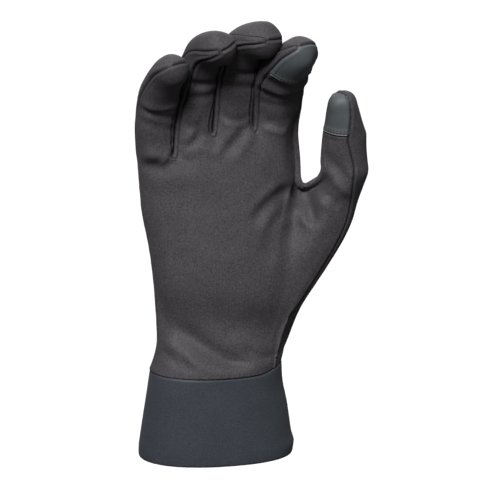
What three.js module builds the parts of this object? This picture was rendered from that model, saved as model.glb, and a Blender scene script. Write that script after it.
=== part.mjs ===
// A right-hand knit glove, held open as if worn: fingers up and gently curled, thumb out.
// Millimetres, +Z up along the fingers, the palm faces -Y, the thumb is at +X.
// The origin is the centre of the cuff's rim, where a wrist goes in.
import * as THREE from 'three';

const CLOTH = 1.2;          // wall of the knit
const CUFF_CLOTH = 1.8;     // wall of the cuff, a thicker smooth cloth
const SEAM_GAP = 0.3;       // space left between two neighbouring pieces
const STRETCH = 2.4;        // how square the hand's cross-section is, 2 is an ellipse
const FINGER_STRETCH = 2.25;
const LEFT_EDGE = 0.9;      // share of the half width where the columns begin at the little finger's side
const HAND_COLUMNS = 12;    // three for each finger
const THUMB_COLUMNS = 3;

// Turns rows of numbers into rows with names.
function table(names, rows) {
  const keys = names.split(' ');
  return rows.map((row) => Object.fromEntries(keys.map((key, k) => [key, row[k]])));
}

// Sections of the hand from the wrist hem up to the thumb's crotch. Each has a left end, the line between
// hand and thumb, and a right end. seam is the share of the half width where the palm panel ends at the
// thumb's side. thumbY sets the thumb's side forward, split parts it from the hand.
const HAND_ROWS = table('leftX leftZ borderX borderZ rightX rightZ seam thumbY front back split', [
  [-37.5, 50, 25, 50, 37.5, 50, 0.83, 0, 26, 26, 0],
  [-33.5, 62, 27, 61, 39.7, 59, 0.82, 0, 24, 23.5, 0],
  [-33.2, 76, 29.5, 74, 43.4, 70, 0.82, -1, 22.5, 21, 0],
  [-34.5, 98, 33.5, 95, 50, 86, 0.85, -3, 21.5, 19, 0],
  [-37.3, 121, 38.5, 119, 61.4, 105, 0.88, -5.5, 20, 17.5, 0.05],
  [-40.7, 139, 44.5, 139, 73.6, 127, 0.9, -7.8, 18.3, 16, 0.26],
  [-41.9, 152, 50, 151.5, 78.4, 143, 0.9, -9, 17, 15.5, 0.62],
]);

// Sections between the thumb's crotch and the fingers' crotches.
const KNUCKLE_ROWS = table('leftX leftZ rightX rightZ front back split', [
  [-42.4, 160.5, 48, 163.5, 15.2, 14.5, 0],
  [-42.9, 167, 47, 176, 13.8, 13.5, 0.12],
]);

// The row where the fingers part: the little finger's side, three crotches and the index finger's side.
const CROTCHES = table('x z', [
  [-43.2, 172.5],
  [-23.8, 174],
  [-2, 184.5],
  [20.3, 186],
  [46.6, 187],
]);
const CROTCH_ROW = { front: 12.2, back: 11.5, split: 0.52, endDepth: 0.55, endInset: 1.8 };

// Fingers and thumb. Base of the middle line. lean is to the thumb's side, turn moves the pad to that side,
// and yaw is how far that turn grows past the first bend. Then the three bends and the lengths between
// them. hem is where the tip's panel ends, counted from the tip. roll0 and back0 turn the panels round the
// finger at its base, in front and at the back, and roll1 past the roll's reach. Angles are degrees.
const FINGER_COLUMNS = 'name baseX baseY baseZ lean turn yaw bend1 bend2 bend3 '
  + 'length1 length2 length3 hem roll0 back0 roll1';
const FINGER_LINES = table(FINGER_COLUMNS, [
  ['little', -34, 0, 173, 0, 6, 18, 15, 26, 18, 31, 19, 18, 17, 0, 0, 4],
  ['ring', -12.4, 0, 180, 2, 0, 28, 11, 23, 44, 33.5, 21.5, 21.5, 22, 0, 0, 24],
  ['middle', 9.2, 0, 186, 3, 0, 38, 14, 21, 46, 33, 21, 21.5, 22, 0, 0, 0],
  ['index', 33.3, 0, 186.5, 0, 0, 33, 24, 26, 2, 27, 18, 20, 22, 0, 0, -6],
  ['thumb', 70, -9, 150, 1, -35, 0, 4, 10, 8, 23, 18, 16, 22, 0, 28, -18],
]);

// Their widths and depths at the base, the two bends and the tip.
const FINGER_SIZES = table('w0 w1 w2 w3 d0 d1 d2 d3', [
  [21, 22, 19.5, 17.5, 20, 19, 17.5, 15.5],
  [20.8, 21, 20.5, 18.5, 20, 19, 19, 18],
  [21.8, 22.2, 21, 19, 20.5, 19, 19, 19],
  [26, 27, 24, 21, 20.5, 19.5, 18, 16],
  [29, 25.4, 20, 13.4, 26, 23, 18, 14],
]);
const FINGERS = FINGER_LINES.map((line, k) => ({ ...line, ...FINGER_SIZES[k] }));
const ROLL_START = 12;      // the front's roll changes from here
const ROLL_REACH = 32;      // to here, and the back's from the base
const BEND_REACH = 8;       // a bend is spread this far to each side of its middle
const ROOT_REACH = 6;       // the first bend begins this far below the base
const STRIP_PLACES = [0, 0.6, 0.8, 1];  // shares of a finger's length, and its side strips' half angles there
const STRIP_ANGLES = [40, 36, 18, 10];
const FIRST_STATION = 0.36;  // share of the first length where a finger's first section is
const BEND_BEFORE = 7;       // sections on both sides of the first bend's middle
const BEND_AFTER = 6;
const TIP_STATIONS = [0.44, 0.12];  // the last sections' distances from the tip, as shares of its width
const TIP_LINE = 0.16;       // half length of the line where front and back meet at the tip, the same share
const FIT_ROUNDS = 8;        // rounds that bring the smooth surface onto the given sections
const FOLD_FADE = 0.3;       // share of a fold's length over which it fades at each end
const OFF_FINGER = -1;       // tags of a vertex that is on no finger
const FAR_BELOW = -20;
const CORNER_REACH = 0.06;   // least squared length of the drawing back at a seam's corner
const CROTCH_INSET = { y: -1, z: -1.5 };  // the thumb's crotch lies this far off the row's border

// Which panel each side of a finger belongs to.
const SIDES = {
  little: { left: null, right: 'fourchette_little_ring' },
  ring: { left: 'fourchette_little_ring', right: 'fourchette_ring_middle' },
  middle: { left: 'fourchette_ring_middle', right: 'fourchette_middle_index' },
  index: { left: 'fourchette_middle_index', right: 'thumb_gusset' },
  thumb: { left: 'thumb_gusset', right: 'back_panel' },
};
const TIP_PANELS = { index: 'index_touch_patch', thumb: 'thumb_touch_patch' };

// Folds on the palm's side, seen from the front: from one end to the other, with a bow to the left of that
// direction, a half width and a height. A valley's height is negative.
const FOLDS = table('x0 z0 x1 z1 bow width height', [
  [-31, 86, 18, 56, -2, 6.5, -2.4],
  [-33, 78, -12, 58, 0, 4.5, 1.3],
  [-30, 70, -18, 53, 0, 4, -1.3],
  [-30, 94, 42, 68, 0, 13, -1.4],
  [-24, 175, -44, 165.5, 1, 3, -1],
  [-19, 182, -29, 166, 0, 3.5, -1.2],
  [-7, 188, -20, 175, 0, 3.5, -1.2],
  [18, 191, 1, 172, 0, 4, -1.5],
  [44, 155, 15, 134, -2, 5, -1.9],
  [40, 147, 26, 128, 0, 5, -1.2],
  [43, 154, 47, 128, 0, 3.2, 1.5],
  [48.5, 154, 57, 139, 0, 3.2, 1.3],
  [46, 154, 53, 130, -1, 3.6, -2.4],
  [55, 173, 71, 153, 1, 3.5, -1.2],
  [57, 165, 69, 146, 1, 3.5, 0.9],
  [0, 196, 18, 193, -4, 3, -0.9],
  [-21, 189, -7, 190, -1, 3, -0.8],
  [24, 191, 40, 186, -1, 3, -0.9],
]);

// Creases across the fingers' inner sides, measured along the finger from its base. tilt moves the crease's
// thumb-side end further along.
const CREASES = table('finger along tilt width height', [
  [0, 19, -3, 3, -0.8],
  [0, 26, -4, 3, -1.1],
  [0, 34, 0, 3, 0.7],
  [1, 27, 1, 3, -0.9],
  [1, 38, 0, 3.2, -1.8],
  [2, 27, -1, 3, -0.9],
  [2, 38, 0, 3.2, -1.8],
  [3, 18, -1, 3, -0.9],
  [3, 25, -1, 3.5, -1.4],
  [3, 32, 0, 3.5, 1],
  [3, 39, 1, 3.2, -1.3],
]);

// The cuff from its rim up, with its half width and half depth outside. The last rows tuck into the hem.
const CUFF_ROWS = table('z halfWidth halfDepth', [
  [0, 43.2, 28.4],
  [6, 43, 28.2],
  [49.2, 36.9, 25.4],
  [49.7, 35.8, 24.3],
  [52.6, 34.7, 23.6],
]);
const CUFF_FLAT = 0.7;      // share of the half width in which every other corner of the section is enough
const CUFF_INSIDE = [CUFF_ROWS[CUFF_ROWS.length - 1], CUFF_ROWS[0]].map((row) => ({
  z: row.z,
  halfWidth: row.halfWidth - CUFF_CLOTH,
  halfDepth: row.halfDepth - CUFF_CLOTH,
}));

const radians = (degrees) => (degrees * Math.PI) / 180;
const add = (a, b, k = 1) => [a[0] + b[0] * k, a[1] + b[1] * k, a[2] + b[2] * k];
const dot = (a, b) => a[0] * b[0] + a[1] * b[1] + a[2] * b[2];
const cross = (a, b) => [a[1] * b[2] - a[2] * b[1], a[2] * b[0] - a[0] * b[2], a[0] * b[1] - a[1] * b[0]];
const unit = (a) => {
  const length = Math.hypot(...a) || 1;
  return a.map((value) => value / length);
};
const mix = (a, b, t) => a + (b - a) * t;
const smooth = (t) => {
  const clipped = Math.min(Math.max(t, 0), 1);
  return clipped * clipped * (3 - 2 * clipped);
};

// Value at s of a line through the stations.
function along(s, stations, values) {
  let k = 0;
  while (k < stations.length - 2 && s > stations[k + 1]) {
    k += 1;
  }
  const t = (s - stations[k]) / (stations[k + 1] - stations[k]);
  return mix(values[k], values[k + 1], Math.min(Math.max(t, 0), 1));
}

// Depth of a rounded section, 1 at its middle and 0 at u = -1 and u = 1.
function section(u, power = STRETCH) {
  return Math.max(0, 1 - Math.abs(u) ** power) ** (1 / power);
}

// The same section drawn in between the lobes that the edges mark off.
function lobedSection(u, edges, split) {
  const whole = section(u);
  let lobe = 0;
  for (let k = 0; k + 1 < edges.length; k += 1) {
    const t = (u - edges[k]) / (edges[k + 1] - edges[k]);
    if (t >= -1e-9 && t <= 1 + 1e-9) {
      lobe = Math.max(lobe, section(2 * t - 1, 2));
    }
  }
  return mix(whole, Math.min(whole, lobe), split);
}

// A mesh of quads. Each vertex carries tags: finger, distance along it, and the cosine and sine of its angle
// round the finger, counted from the pad. Each quad belongs to a panel.
class Cage {
  constructor() {
    this.points = [];
    this.tags = [];
    this.quads = [];
    this.panels = [];
  }

  vertex(point, finger, s, angle) {
    this.points.push(point);
    this.tags.push([finger, s, Math.cos(angle), Math.sin(angle)]);
    return this.points.length - 1;
  }

  // Quads between two rows of vertices.
  band(low, high, panel) {
    for (let k = 0; k + 1 < low.length; k += 1) {
      this.quads.push([low[k], low[k + 1], high[k + 1], high[k]]);
      this.panels.push(panel);
    }
  }
}

// Middle line of a finger: a function that gives the place, direction, pad direction and side at a distance.
function fingerLine(finger) {
  const turn = radians(finger.turn);
  const lean = radians(finger.lean);
  const up = [Math.sin(lean), 0, Math.cos(lean)];
  const flat = [Math.sin(turn), -Math.cos(turn), 0];
  const forward = unit(add(flat, up, -dot(flat, up)));
  const sideways = cross(up, forward);
  const { length1, length2, length3 } = finger;
  const total = length1 + length2 + length3;
  const step = total / Math.ceil(total / 0.25);
  const frames = [];
  let place = [finger.baseX, finger.baseY, finger.baseZ];
  let before = null;
  for (let s = 0; s <= total + 1e-6; s += step) {
    const bend = radians(
      finger.bend1 * smooth((s + ROOT_REACH) / (ROOT_REACH + BEND_REACH))
        + finger.bend2 * smooth((s - length1 + BEND_REACH) / (2 * BEND_REACH))
        + finger.bend3 * smooth((s - length1 - length2 + BEND_REACH) / (2 * BEND_REACH)),
    );
    const yaw = radians(finger.yaw) * smooth((s - length1 + BEND_REACH) / (length2 + length3 + BEND_REACH));
    const ahead = add(forward.map((value) => value * Math.cos(yaw)), sideways, Math.sin(yaw));
    const side = add(sideways.map((value) => value * Math.cos(yaw)), forward, -Math.sin(yaw));
    const direction = add(ahead.map((value) => value * Math.sin(bend)), up, Math.cos(bend));
    const pad = add(ahead.map((value) => value * Math.cos(bend)), up, -Math.sin(bend));
    if (before) {
      place = add(place, add(before, direction), step / 2);
    }
    frames.push({ place, pad, side });
    before = direction;
  }
  return (s) => {
    const k = Math.min(Math.max(s / step, 0), frames.length - 1.000001);
    const low = frames[Math.floor(k)];
    const high = frames[Math.floor(k) + 1];
    const t = k - Math.floor(k);
    const blend = (key) => low[key].map((value, axis) => mix(value, high[key][axis], t));
    return { place: blend('place'), pad: blend('pad'), side: blend('side') };
  };
}

// Half width and half depth of a finger, rounded off at its tip.
function fingerSize(finger, s) {
  const { length1, length2, length3, w0, w1, w2, w3, d0, d1, d2, d3 } = finger;
  const total = length1 + length2 + length3;
  const stations = [0, length1, length1 + length2, total];
  const radius = w3 / 2;
  const round = s > total - radius ? Math.sqrt(Math.max(0, 1 - ((s - total + radius) / radius) ** 2)) : 1;
  return [
    (along(s, stations, [w0, w1, w2, w3]) / 2) * round,
    (along(s, stations, [d0, d1, d2, d3]) / 2) * round,
  ];
}

// Adds a finger on four open edges: its front columns, right middle, back columns from right to left, and
// left middle.
function addFinger(cage, finger, index, frontRow, rightStart, backRow, leftStart) {
  const { length1, length2, length3, w3, hem } = finger;
  const total = length1 + length2 + length3;
  const at = fingerLine(finger);
  const sides = SIDES[finger.name];
  const tipStations = TIP_STATIONS.map((share) => total - share * w3);
  const bendStations = [length1 - BEND_BEFORE, length1 + BEND_AFTER];
  const stations = [FIRST_STATION * length1, ...bendStations, total - hem, ...tipStations];
  let front = frontRow;
  let right = rightStart;
  let back = backRow;
  let left = leftStart;
  for (const s of stations) {
    const { place, pad, side } = at(s);
    const [halfWidth, halfDepth] = fingerSize(finger, s);
    const strip = along(s / total, STRIP_PLACES, STRIP_ANGLES);
    const edge = 90 - strip;
    const frontRoll = mix(finger.roll0, finger.roll1, smooth((s - ROLL_START) / (ROLL_REACH - ROLL_START)));
    const backRoll = mix(finger.back0, finger.roll1, smooth(s / ROLL_REACH));
    const vertexAt = (degrees) => {
      const atSide = Math.abs(degrees) === 90;
      const share = atSide ? 0.5 : Number(degrees > 90);
      const angle = radians(degrees + mix(frontRoll, backRoll, share));
      const c = Math.cos(angle);
      const q = Math.sin(angle);
      const r = (Math.abs(c) ** FINGER_STRETCH + Math.abs(q) ** FINGER_STRETCH) ** (-1 / FINGER_STRETCH);
      const point = add(add(place, pad, c * r * halfDepth), side, q * r * halfWidth);
      return cage.vertex(point, index, s, angle);
    };
    const nextFront = [-edge, -edge / 3, edge / 3, edge].map(vertexAt);
    const nextBack = [180 - edge, 180 - edge / 3, 180 + edge / 3, 180 + edge].map(vertexAt);
    const nextRight = vertexAt(90);
    const nextLeft = vertexAt(-90);
    const onTip = s > total - hem + 1e-6;
    cage.band(front, nextFront, (onTip && TIP_PANELS[finger.name]) || 'palm_panel');
    cage.band([front[3], right, back[0]], [nextFront[3], nextRight, nextBack[0]], sides.right);
    cage.band(back, nextBack, 'back_panel');
    cage.band([back[3], left], [nextBack[3], nextLeft], sides.left || 'back_panel');
    cage.band([left, front[0]], [nextLeft, nextFront[0]], sides.left || 'palm_panel');
    [front, right, back, left] = [nextFront, nextRight, nextBack, nextLeft];
  }
  const { place, pad, side } = at(total);
  const roll = radians(finger.roll1);
  const across = add(side.map((value) => value * Math.cos(roll)), pad, -Math.sin(roll));
  const tipLine = [
    left,
    cage.vertex(add(place, across, -TIP_LINE * w3), index, total, 0),
    cage.vertex(add(place, across, TIP_LINE * w3), index, total, 0),
    right,
  ];
  cage.band(front, tipLine, TIP_PANELS[finger.name] || 'palm_panel');
  cage.band(tipLine, [...back].reverse(), 'back_panel');
}

// The whole hand: rings of the wrist and palm, then the four fingers and the thumb.
function handCage() {
  const cage = new Cage();
  const columns = HAND_COLUMNS + THUMB_COLUMNS + 1;
  const rings = HAND_ROWS.map((row) => {
    const middle = (row.leftX + row.rightX) / 2;
    const half = (row.rightX - row.leftX) / 2;
    const border = (row.borderX - middle) / half;
    const ring = { front: [], back: [] };
    for (let c = 0; c < columns; c += 1) {
      const onThumb = c > HAND_COLUMNS;
      const t = onThumb ? (c - HAND_COLUMNS) / THUMB_COLUMNS : c / HAND_COLUMNS;
      const u = onThumb ? mix(border, row.seam, t) : mix(-LEFT_EDGE, border, t);
      const z = onThumb ? mix(row.borderZ, row.rightZ, t) : mix(row.leftZ, row.borderZ, t);
      const y = onThumb ? row.thumbY * smooth(1.2 * t) : 0;
      const depth = lobedSection(u, [-1, border, 1], row.split);
      const x = middle + u * half;
      ring.front.push(cage.vertex([x, y - depth * row.front, z], OFF_FINGER, FAR_BELOW, 0));
      ring.back.push(cage.vertex([x, y + depth * row.back, z], OFF_FINGER, FAR_BELOW, Math.PI));
    }
    ring.left = cage.vertex([row.leftX, 0, row.leftZ], OFF_FINGER, FAR_BELOW, -Math.PI / 2);
    ring.right = cage.vertex([row.rightX, row.thumbY, row.rightZ], OFF_FINGER, FAR_BELOW, Math.PI / 2);
    return ring;
  });
  const last = columns - 1;
  for (let r = 0; r + 1 < rings.length; r += 1) {
    const [low, high] = [rings[r], rings[r + 1]];
    cage.band(low.front, high.front, 'palm_panel');
    const lowEnd = [low.front[last], low.right, low.back[last]];
    const highEnd = [high.front[last], high.right, high.back[last]];
    cage.band(lowEnd, highEnd, 'back_panel');
    cage.band([...low.back].reverse(), [...high.back].reverse(), 'back_panel');
    cage.band([low.back[0], low.left], [high.back[0], high.left], 'back_panel');
    cage.band([low.left, low.front[0]], [high.left, high.front[0]], 'palm_panel');
  }

  // Above the thumb's crotch only the hand's columns go on.
  const top = rings[rings.length - 1];
  const topRow = HAND_ROWS[HAND_ROWS.length - 1];
  const crotchPoint = [topRow.borderX, CROTCH_INSET.y, topRow.borderZ + CROTCH_INSET.z];
  const thumbCrotch = cage.vertex(crotchPoint, OFF_FINGER, FAR_BELOW, 0);
  const upper = [{
    front: top.front.slice(0, HAND_COLUMNS + 1),
    back: top.back.slice(0, HAND_COLUMNS + 1),
    left: top.left,
    right: thumbCrotch,
  }];
  for (const row of KNUCKLE_ROWS) {
    const middle = (row.leftX + row.rightX) / 2;
    const half = (row.rightX - row.leftX) / 2;
    const ring = { front: [], back: [] };
    for (let c = 0; c <= HAND_COLUMNS; c += 1) {
      const t = c / HAND_COLUMNS;
      const u = mix(-LEFT_EDGE, LEFT_EDGE, t);
      const depth = lobedSection(u, [-1, -LEFT_EDGE / 2, 0, LEFT_EDGE / 2, 1], row.split);
      const z = mix(row.leftZ, row.rightZ, t);
      ring.front.push(cage.vertex([middle + u * half, -depth * row.front, z], OFF_FINGER, FAR_BELOW, 0));
      ring.back.push(cage.vertex([middle + u * half, depth * row.back, z], OFF_FINGER, FAR_BELOW, Math.PI));
    }
    ring.left = cage.vertex([row.leftX, 0, row.leftZ], OFF_FINGER, FAR_BELOW, -Math.PI / 2);
    ring.right = cage.vertex([row.rightX, 0, row.rightZ], OFF_FINGER, FAR_BELOW, Math.PI / 2);
    upper.push(ring);
  }

  // The row where the fingers part has a middle vertex in each crotch.
  const parting = { front: [], back: [] };
  for (let c = 0; c <= HAND_COLUMNS; c += 1) {
    const k = Math.min(Math.floor(c / 3), CROTCHES.length - 2);
    const t = (c - 3 * k) / 3;
    const atEnd = c === 0 || c === HAND_COLUMNS;
    const inset = (c === 0 ? 1 : -1) * (atEnd ? CROTCH_ROW.endInset : 0);
    const x = mix(CROTCHES[k].x, CROTCHES[k + 1].x, t) + inset;
    const z = mix(CROTCHES[k].z, CROTCHES[k + 1].z, t);
    const depth = atEnd ? CROTCH_ROW.endDepth : mix(1, section(2 * t - 1, 2), CROTCH_ROW.split);
    parting.front.push(cage.vertex([x, -CROTCH_ROW.front * depth, z], k, 0, 0));
    parting.back.push(cage.vertex([x, CROTCH_ROW.back * depth, z], k, 0, Math.PI));
  }
  const crotches = CROTCHES.map(({ x, z }, k) => (
    cage.vertex([x, 0, z], Math.min(k, CROTCHES.length - 2), 0, Math.PI / 2)
  ));
  parting.left = crotches[0];
  parting.right = crotches[CROTCHES.length - 1];
  upper.push(parting);
  for (let r = 0; r + 1 < upper.length; r += 1) {
    const [low, high] = [upper[r], upper[r + 1]];
    const lowEnd = [low.front[HAND_COLUMNS], low.right, low.back[HAND_COLUMNS]];
    const highEnd = [high.front[HAND_COLUMNS], high.right, high.back[HAND_COLUMNS]];
    cage.band(low.front, high.front, 'palm_panel');
    cage.band(lowEnd, highEnd, 'thumb_gusset');
    cage.band([...low.back].reverse(), [...high.back].reverse(), 'back_panel');
    cage.band([low.back[0], low.left], [high.back[0], high.left], 'back_panel');
    cage.band([low.left, low.front[0]], [high.left, high.front[0]], 'palm_panel');
  }

  FINGERS.forEach((finger, index) => {
    if (finger.name === 'thumb') {
      const front = top.front.slice(HAND_COLUMNS);
      const back = top.back.slice(HAND_COLUMNS).reverse();
      addFinger(cage, finger, index, front, top.right, back, thumbCrotch);
    } else {
      const front = parting.front.slice(3 * index, 3 * index + 4);
      const back = parting.back.slice(3 * index, 3 * index + 4).reverse();
      addFinger(cage, finger, index, front, crotches[index + 1], back, crotches[index]);
    }
  });
  return cage;
}

// Edges of a quad mesh, with the quads beside each.
function edgesOf(quads) {
  const edges = new Map();
  quads.forEach((quad, q) => {
    for (let k = 0; k < 4; k += 1) {
      const [a, b] = [quad[k], quad[(k + 1) % 4]];
      const key = a < b ? `${a} ${b}` : `${b} ${a}`;
      if (!edges.has(key)) {
        edges.set(key, { a, b, quads: [] });
      }
      edges.get(key).quads.push(q);
    }
  });
  return edges;
}

const average = (vectors) => vectors[0].map((_, axis) => (
  vectors.reduce((sum, vector) => sum + vector[axis], 0) / vectors.length
));

// Where each vertex lies on the smooth surface that the subdivision tends to.
function limitPoints(points, quads, edges) {
  const ringSum = points.map(() => [0, 0, 0]);
  const cornerSum = points.map(() => [0, 0, 0]);
  const rimSum = points.map(() => [0, 0, 0]);
  const valence = points.map(() => 0);
  const onRim = points.map(() => false);
  for (const { a, b, quads: beside } of edges.values()) {
    ringSum[a] = add(ringSum[a], points[b]);
    ringSum[b] = add(ringSum[b], points[a]);
    valence[a] += 1;
    valence[b] += 1;
    if (beside.length === 1) {
      rimSum[a] = add(rimSum[a], points[b]);
      rimSum[b] = add(rimSum[b], points[a]);
      onRim[a] = true;
      onRim[b] = true;
    }
  }
  for (const quad of quads) {
    quad.forEach((vertex, k) => {
      cornerSum[vertex] = add(cornerSum[vertex], points[quad[(k + 2) % 4]]);
    });
  }
  return points.map((point, k) => {
    if (onRim[k]) {
      return point.map((value, axis) => (4 * value + rimSum[k][axis]) / 6);
    }
    const n = valence[k];
    return point.map((value, axis) => (
      (n * n * value + 4 * ringSum[k][axis] + cornerSum[k][axis]) / (n * (n + 5))
    ));
  });
}

// Moves the cage until the smooth surface goes through the points it was given.
function fitCage(cage) {
  const edges = edgesOf(cage.quads);
  let points = cage.points;
  for (let round = 0; round < FIT_ROUNDS; round += 1) {
    const reached = limitPoints(points, cage.quads, edges);
    points = points.map((point, k) => add(add(point, cage.points[k]), reached[k], -1));
  }
  return { ...cage, points };
}

// One round of Catmull-Clark subdivision. Tags are averaged, panels are handed down.
function refine(mesh) {
  const { points, tags, quads, panels } = mesh;
  const edges = edgesOf(quads);
  const quadPoints = quads.map((quad) => average(quad.map((k) => points[k])));
  const nextPoints = points.map(() => null);
  const nextTags = [...tags];
  const around = points.map(() => ({ middles: [], centres: [], rim: [] }));
  const edgeIndex = new Map();
  for (const [key, { a, b, quads: beside }] of edges) {
    const middle = average([points[a], points[b]]);
    const inside = beside.length === 2;
    const point = inside ? average([points[a], points[b], ...beside.map((q) => quadPoints[q])]) : middle;
    edgeIndex.set(key, nextPoints.length);
    nextPoints.push(point);
    nextTags.push(average([tags[a], tags[b]]));
    around[a].middles.push(middle);
    around[b].middles.push(middle);
    if (!inside) {
      around[a].rim.push(points[b]);
      around[b].rim.push(points[a]);
    }
  }
  quads.forEach((quad, q) => quad.forEach((k) => around[k].centres.push(quadPoints[q])));
  points.forEach((point, k) => {
    const { middles, centres, rim } = around[k];
    if (rim.length > 0) {
      nextPoints[k] = point.map((value, axis) => 0.75 * value + 0.125 * (rim[0][axis] + rim[1][axis]));
      return;
    }
    const n = middles.length;
    const centre = average(centres);
    const middle = average(middles);
    nextPoints[k] = point.map((value, axis) => (centre[axis] + 2 * middle[axis] + (n - 3) * value) / n);
  });
  const nextQuads = [];
  const nextPanels = [];
  quads.forEach((quad, q) => {
    const centre = nextPoints.length;
    nextPoints.push(quadPoints[q]);
    nextTags.push(average(quad.map((k) => tags[k])));
    const middles = quad.map((a, k) => {
      const b = quad[(k + 1) % 4];
      return edgeIndex.get(a < b ? `${a} ${b}` : `${b} ${a}`);
    });
    for (let k = 0; k < 4; k += 1) {
      nextQuads.push([quad[k], middles[k], centre, middles[(k + 3) % 4]]);
      nextPanels.push(panels[q]);
    }
  });
  return { points: nextPoints, tags: nextTags, quads: nextQuads, panels: nextPanels };
}

function vertexNormals(points, quads) {
  const normals = points.map(() => [0, 0, 0]);
  for (const quad of quads) {
    const [a, b, c, d] = quad.map((k) => points[k]);
    const facing = cross(add(c, a, -1), add(d, b, -1));
    quad.forEach((k) => {
      normals[k] = add(normals[k], facing);
    });
  }
  return normals.map(unit);
}

// How far the folds and creases lift the cloth at a place.
function foldHeight(point, normal, tag) {
  let height = 0;
  const facing = smooth(-normal[1] * 2);
  for (const fold of FOLDS) {
    const dx = fold.x1 - fold.x0;
    const dz = fold.z1 - fold.z0;
    const length = Math.hypot(dx, dz);
    const px = point[0] - fold.x0;
    const pz = point[2] - fold.z0;
    const t = (px * dx + pz * dz) / (length * length);
    if (t > 0 && t < 1) {
      const offset = (dx * pz - dz * px) / length - fold.bow * 4 * t * (1 - t);
      const fade = smooth(Math.min(t, 1 - t) / FOLD_FADE);
      height += facing * fold.height * fade * Math.exp(-((offset / fold.width) ** 2));
    }
  }
  const [finger, s, cosine, sine] = tag;
  for (const crease of CREASES) {
    if (Math.abs(finger - crease.finger) < 0.5 && s > 2) {
      const offset = s - crease.along - crease.tilt * sine;
      height += crease.height * smooth(1.5 * cosine) * Math.exp(-((offset / crease.width) ** 2));
    }
  }
  return height;
}

// The hand's smooth surface with its folds.
function handSurface() {
  const mesh = refine(fitCage(handCage()));
  const smoothPoints = limitPoints(mesh.points, mesh.quads, edgesOf(mesh.quads));
  const normals = vertexNormals(smoothPoints, mesh.quads);
  mesh.points = smoothPoints.map((point, k) => {
    const height = foldHeight(point, normals[k], mesh.tags[k]);
    return add(point, normals[k], height);
  });
  mesh.normals = vertexNormals(mesh.points, mesh.quads);
  return mesh;
}

// A closed solid of cloth from the quads of one panel. Its edge along a seam is drawn back by half the gap.
function clothPanel(mesh, panel) {
  const own = mesh.quads.filter((_, q) => mesh.panels[q] === panel);
  const edges = edgesOf(own);
  const shared = edgesOf(mesh.quads);
  const drawBack = new Map();
  const rim = [];
  for (const [key, { a, b, quads: beside }] of edges) {
    if (beside.length === 1) {
      rim.push([a, b]);
      if (shared.get(key).quads.length === 2) {
        const tangent = unit(add(mesh.points[b], mesh.points[a], -1));
        const normal = unit(add(mesh.normals[a], mesh.normals[b]));
        const inward = cross(normal, tangent);
        for (const k of [a, b]) {
          drawBack.set(k, [...(drawBack.get(k) || []), inward]);
        }
      }
    }
  }
  const place = new Map();
  const positions = [];
  const vertexAt = (k, inside) => {
    const key = inside ? -1 - k : k;
    if (!place.has(key)) {
      let point = mesh.points[k];
      if (drawBack.has(k)) {
        const direction = average(drawBack.get(k));
        const reach = Math.max(Math.hypot(...direction) ** 2, CORNER_REACH);
        point = add(point, direction, SEAM_GAP / 2 / reach);
      }
      if (inside) {
        point = add(point, mesh.normals[k], -CLOTH);
      }
      place.set(key, positions.length);
      positions.push(point);
    }
    return place.get(key);
  };
  const faces = [];
  const quadFace = (a, b, c, d) => faces.push([a, b, c], [a, c, d]);
  for (const [a, b, c, d] of own) {
    quadFace(vertexAt(a, false), vertexAt(b, false), vertexAt(c, false), vertexAt(d, false));
    quadFace(vertexAt(d, true), vertexAt(c, true), vertexAt(b, true), vertexAt(a, true));
  }
  // Both neighbours split a seam's wall along the same diagonal, so that their walls stay parallel.
  for (const [a, b] of rim) {
    const wall = [vertexAt(b, false), vertexAt(a, false), vertexAt(a, true), vertexAt(b, true)];
    const [first, second, third, fourth] = a < b ? [...wall.slice(1), wall[0]] : wall;
    quadFace(first, second, third, fourth);
  }
  return solid(positions, faces);
}

function solid(positions, faces) {
  const geometry = new THREE.BufferGeometry();
  geometry.setAttribute('position', new THREE.Float32BufferAttribute(positions.flat(), 3));
  geometry.setIndex(faces.flat());
  geometry.computeVertexNormals();
  return geometry;
}

// The cuff follows the wrist hem's own rounded section, scaled to each row's width and depth.
function cuffSolid(mesh, hemRow) {
  const hem = mesh.points
    .map((point, k) => ({ point, k }))
    .filter(({ point }) => Math.abs(point[2] - hemRow.leftZ) < 0.01)
    .map(({ point }) => [point[0] / hemRow.rightX, point[1] / hemRow.front])
    .sort((one, other) => Math.atan2(one[1], one[0]) - Math.atan2(other[1], other[0]))
    .filter(([x], k) => Math.abs(x) > CUFF_FLAT || k % 2 === 0);
  const positions = [];
  const loops = [...CUFF_ROWS, ...CUFF_INSIDE].map((row) => hem.map(([x, y]) => {
    positions.push([x * row.halfWidth, y * row.halfDepth, row.z]);
    return positions.length - 1;
  }));
  const faces = [];
  loops.forEach((loop, r) => {
    const next = loops[(r + 1) % loops.length];
    loop.forEach((a, k) => {
      const m = (k + 1) % loop.length;
      faces.push([a, loop[m], next[m]], [a, next[m], next[k]]);
    });
  });
  return solid(positions, faces);
}

const cloth = (name, color, roughness) => (
  new THREE.MeshStandardMaterial({ name, color, roughness, metalness: 0 })
);
const KNIT = cloth('knit', 0x46434a, 0.75);
const PATCH = cloth('patch', 0x565d63, 0.55);
const SMOOTH_CLOTH = cloth('cuff_cloth', 0x3b4048, 0.7);

const PANELS = [
  ['palm_panel', KNIT],
  ['back_panel', KNIT],
  ['fourchette_little_ring', KNIT],
  ['fourchette_ring_middle', KNIT],
  ['fourchette_middle_index', KNIT],
  ['thumb_gusset', KNIT],
  ['index_touch_patch', PATCH],
  ['thumb_touch_patch', PATCH],
];

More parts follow.
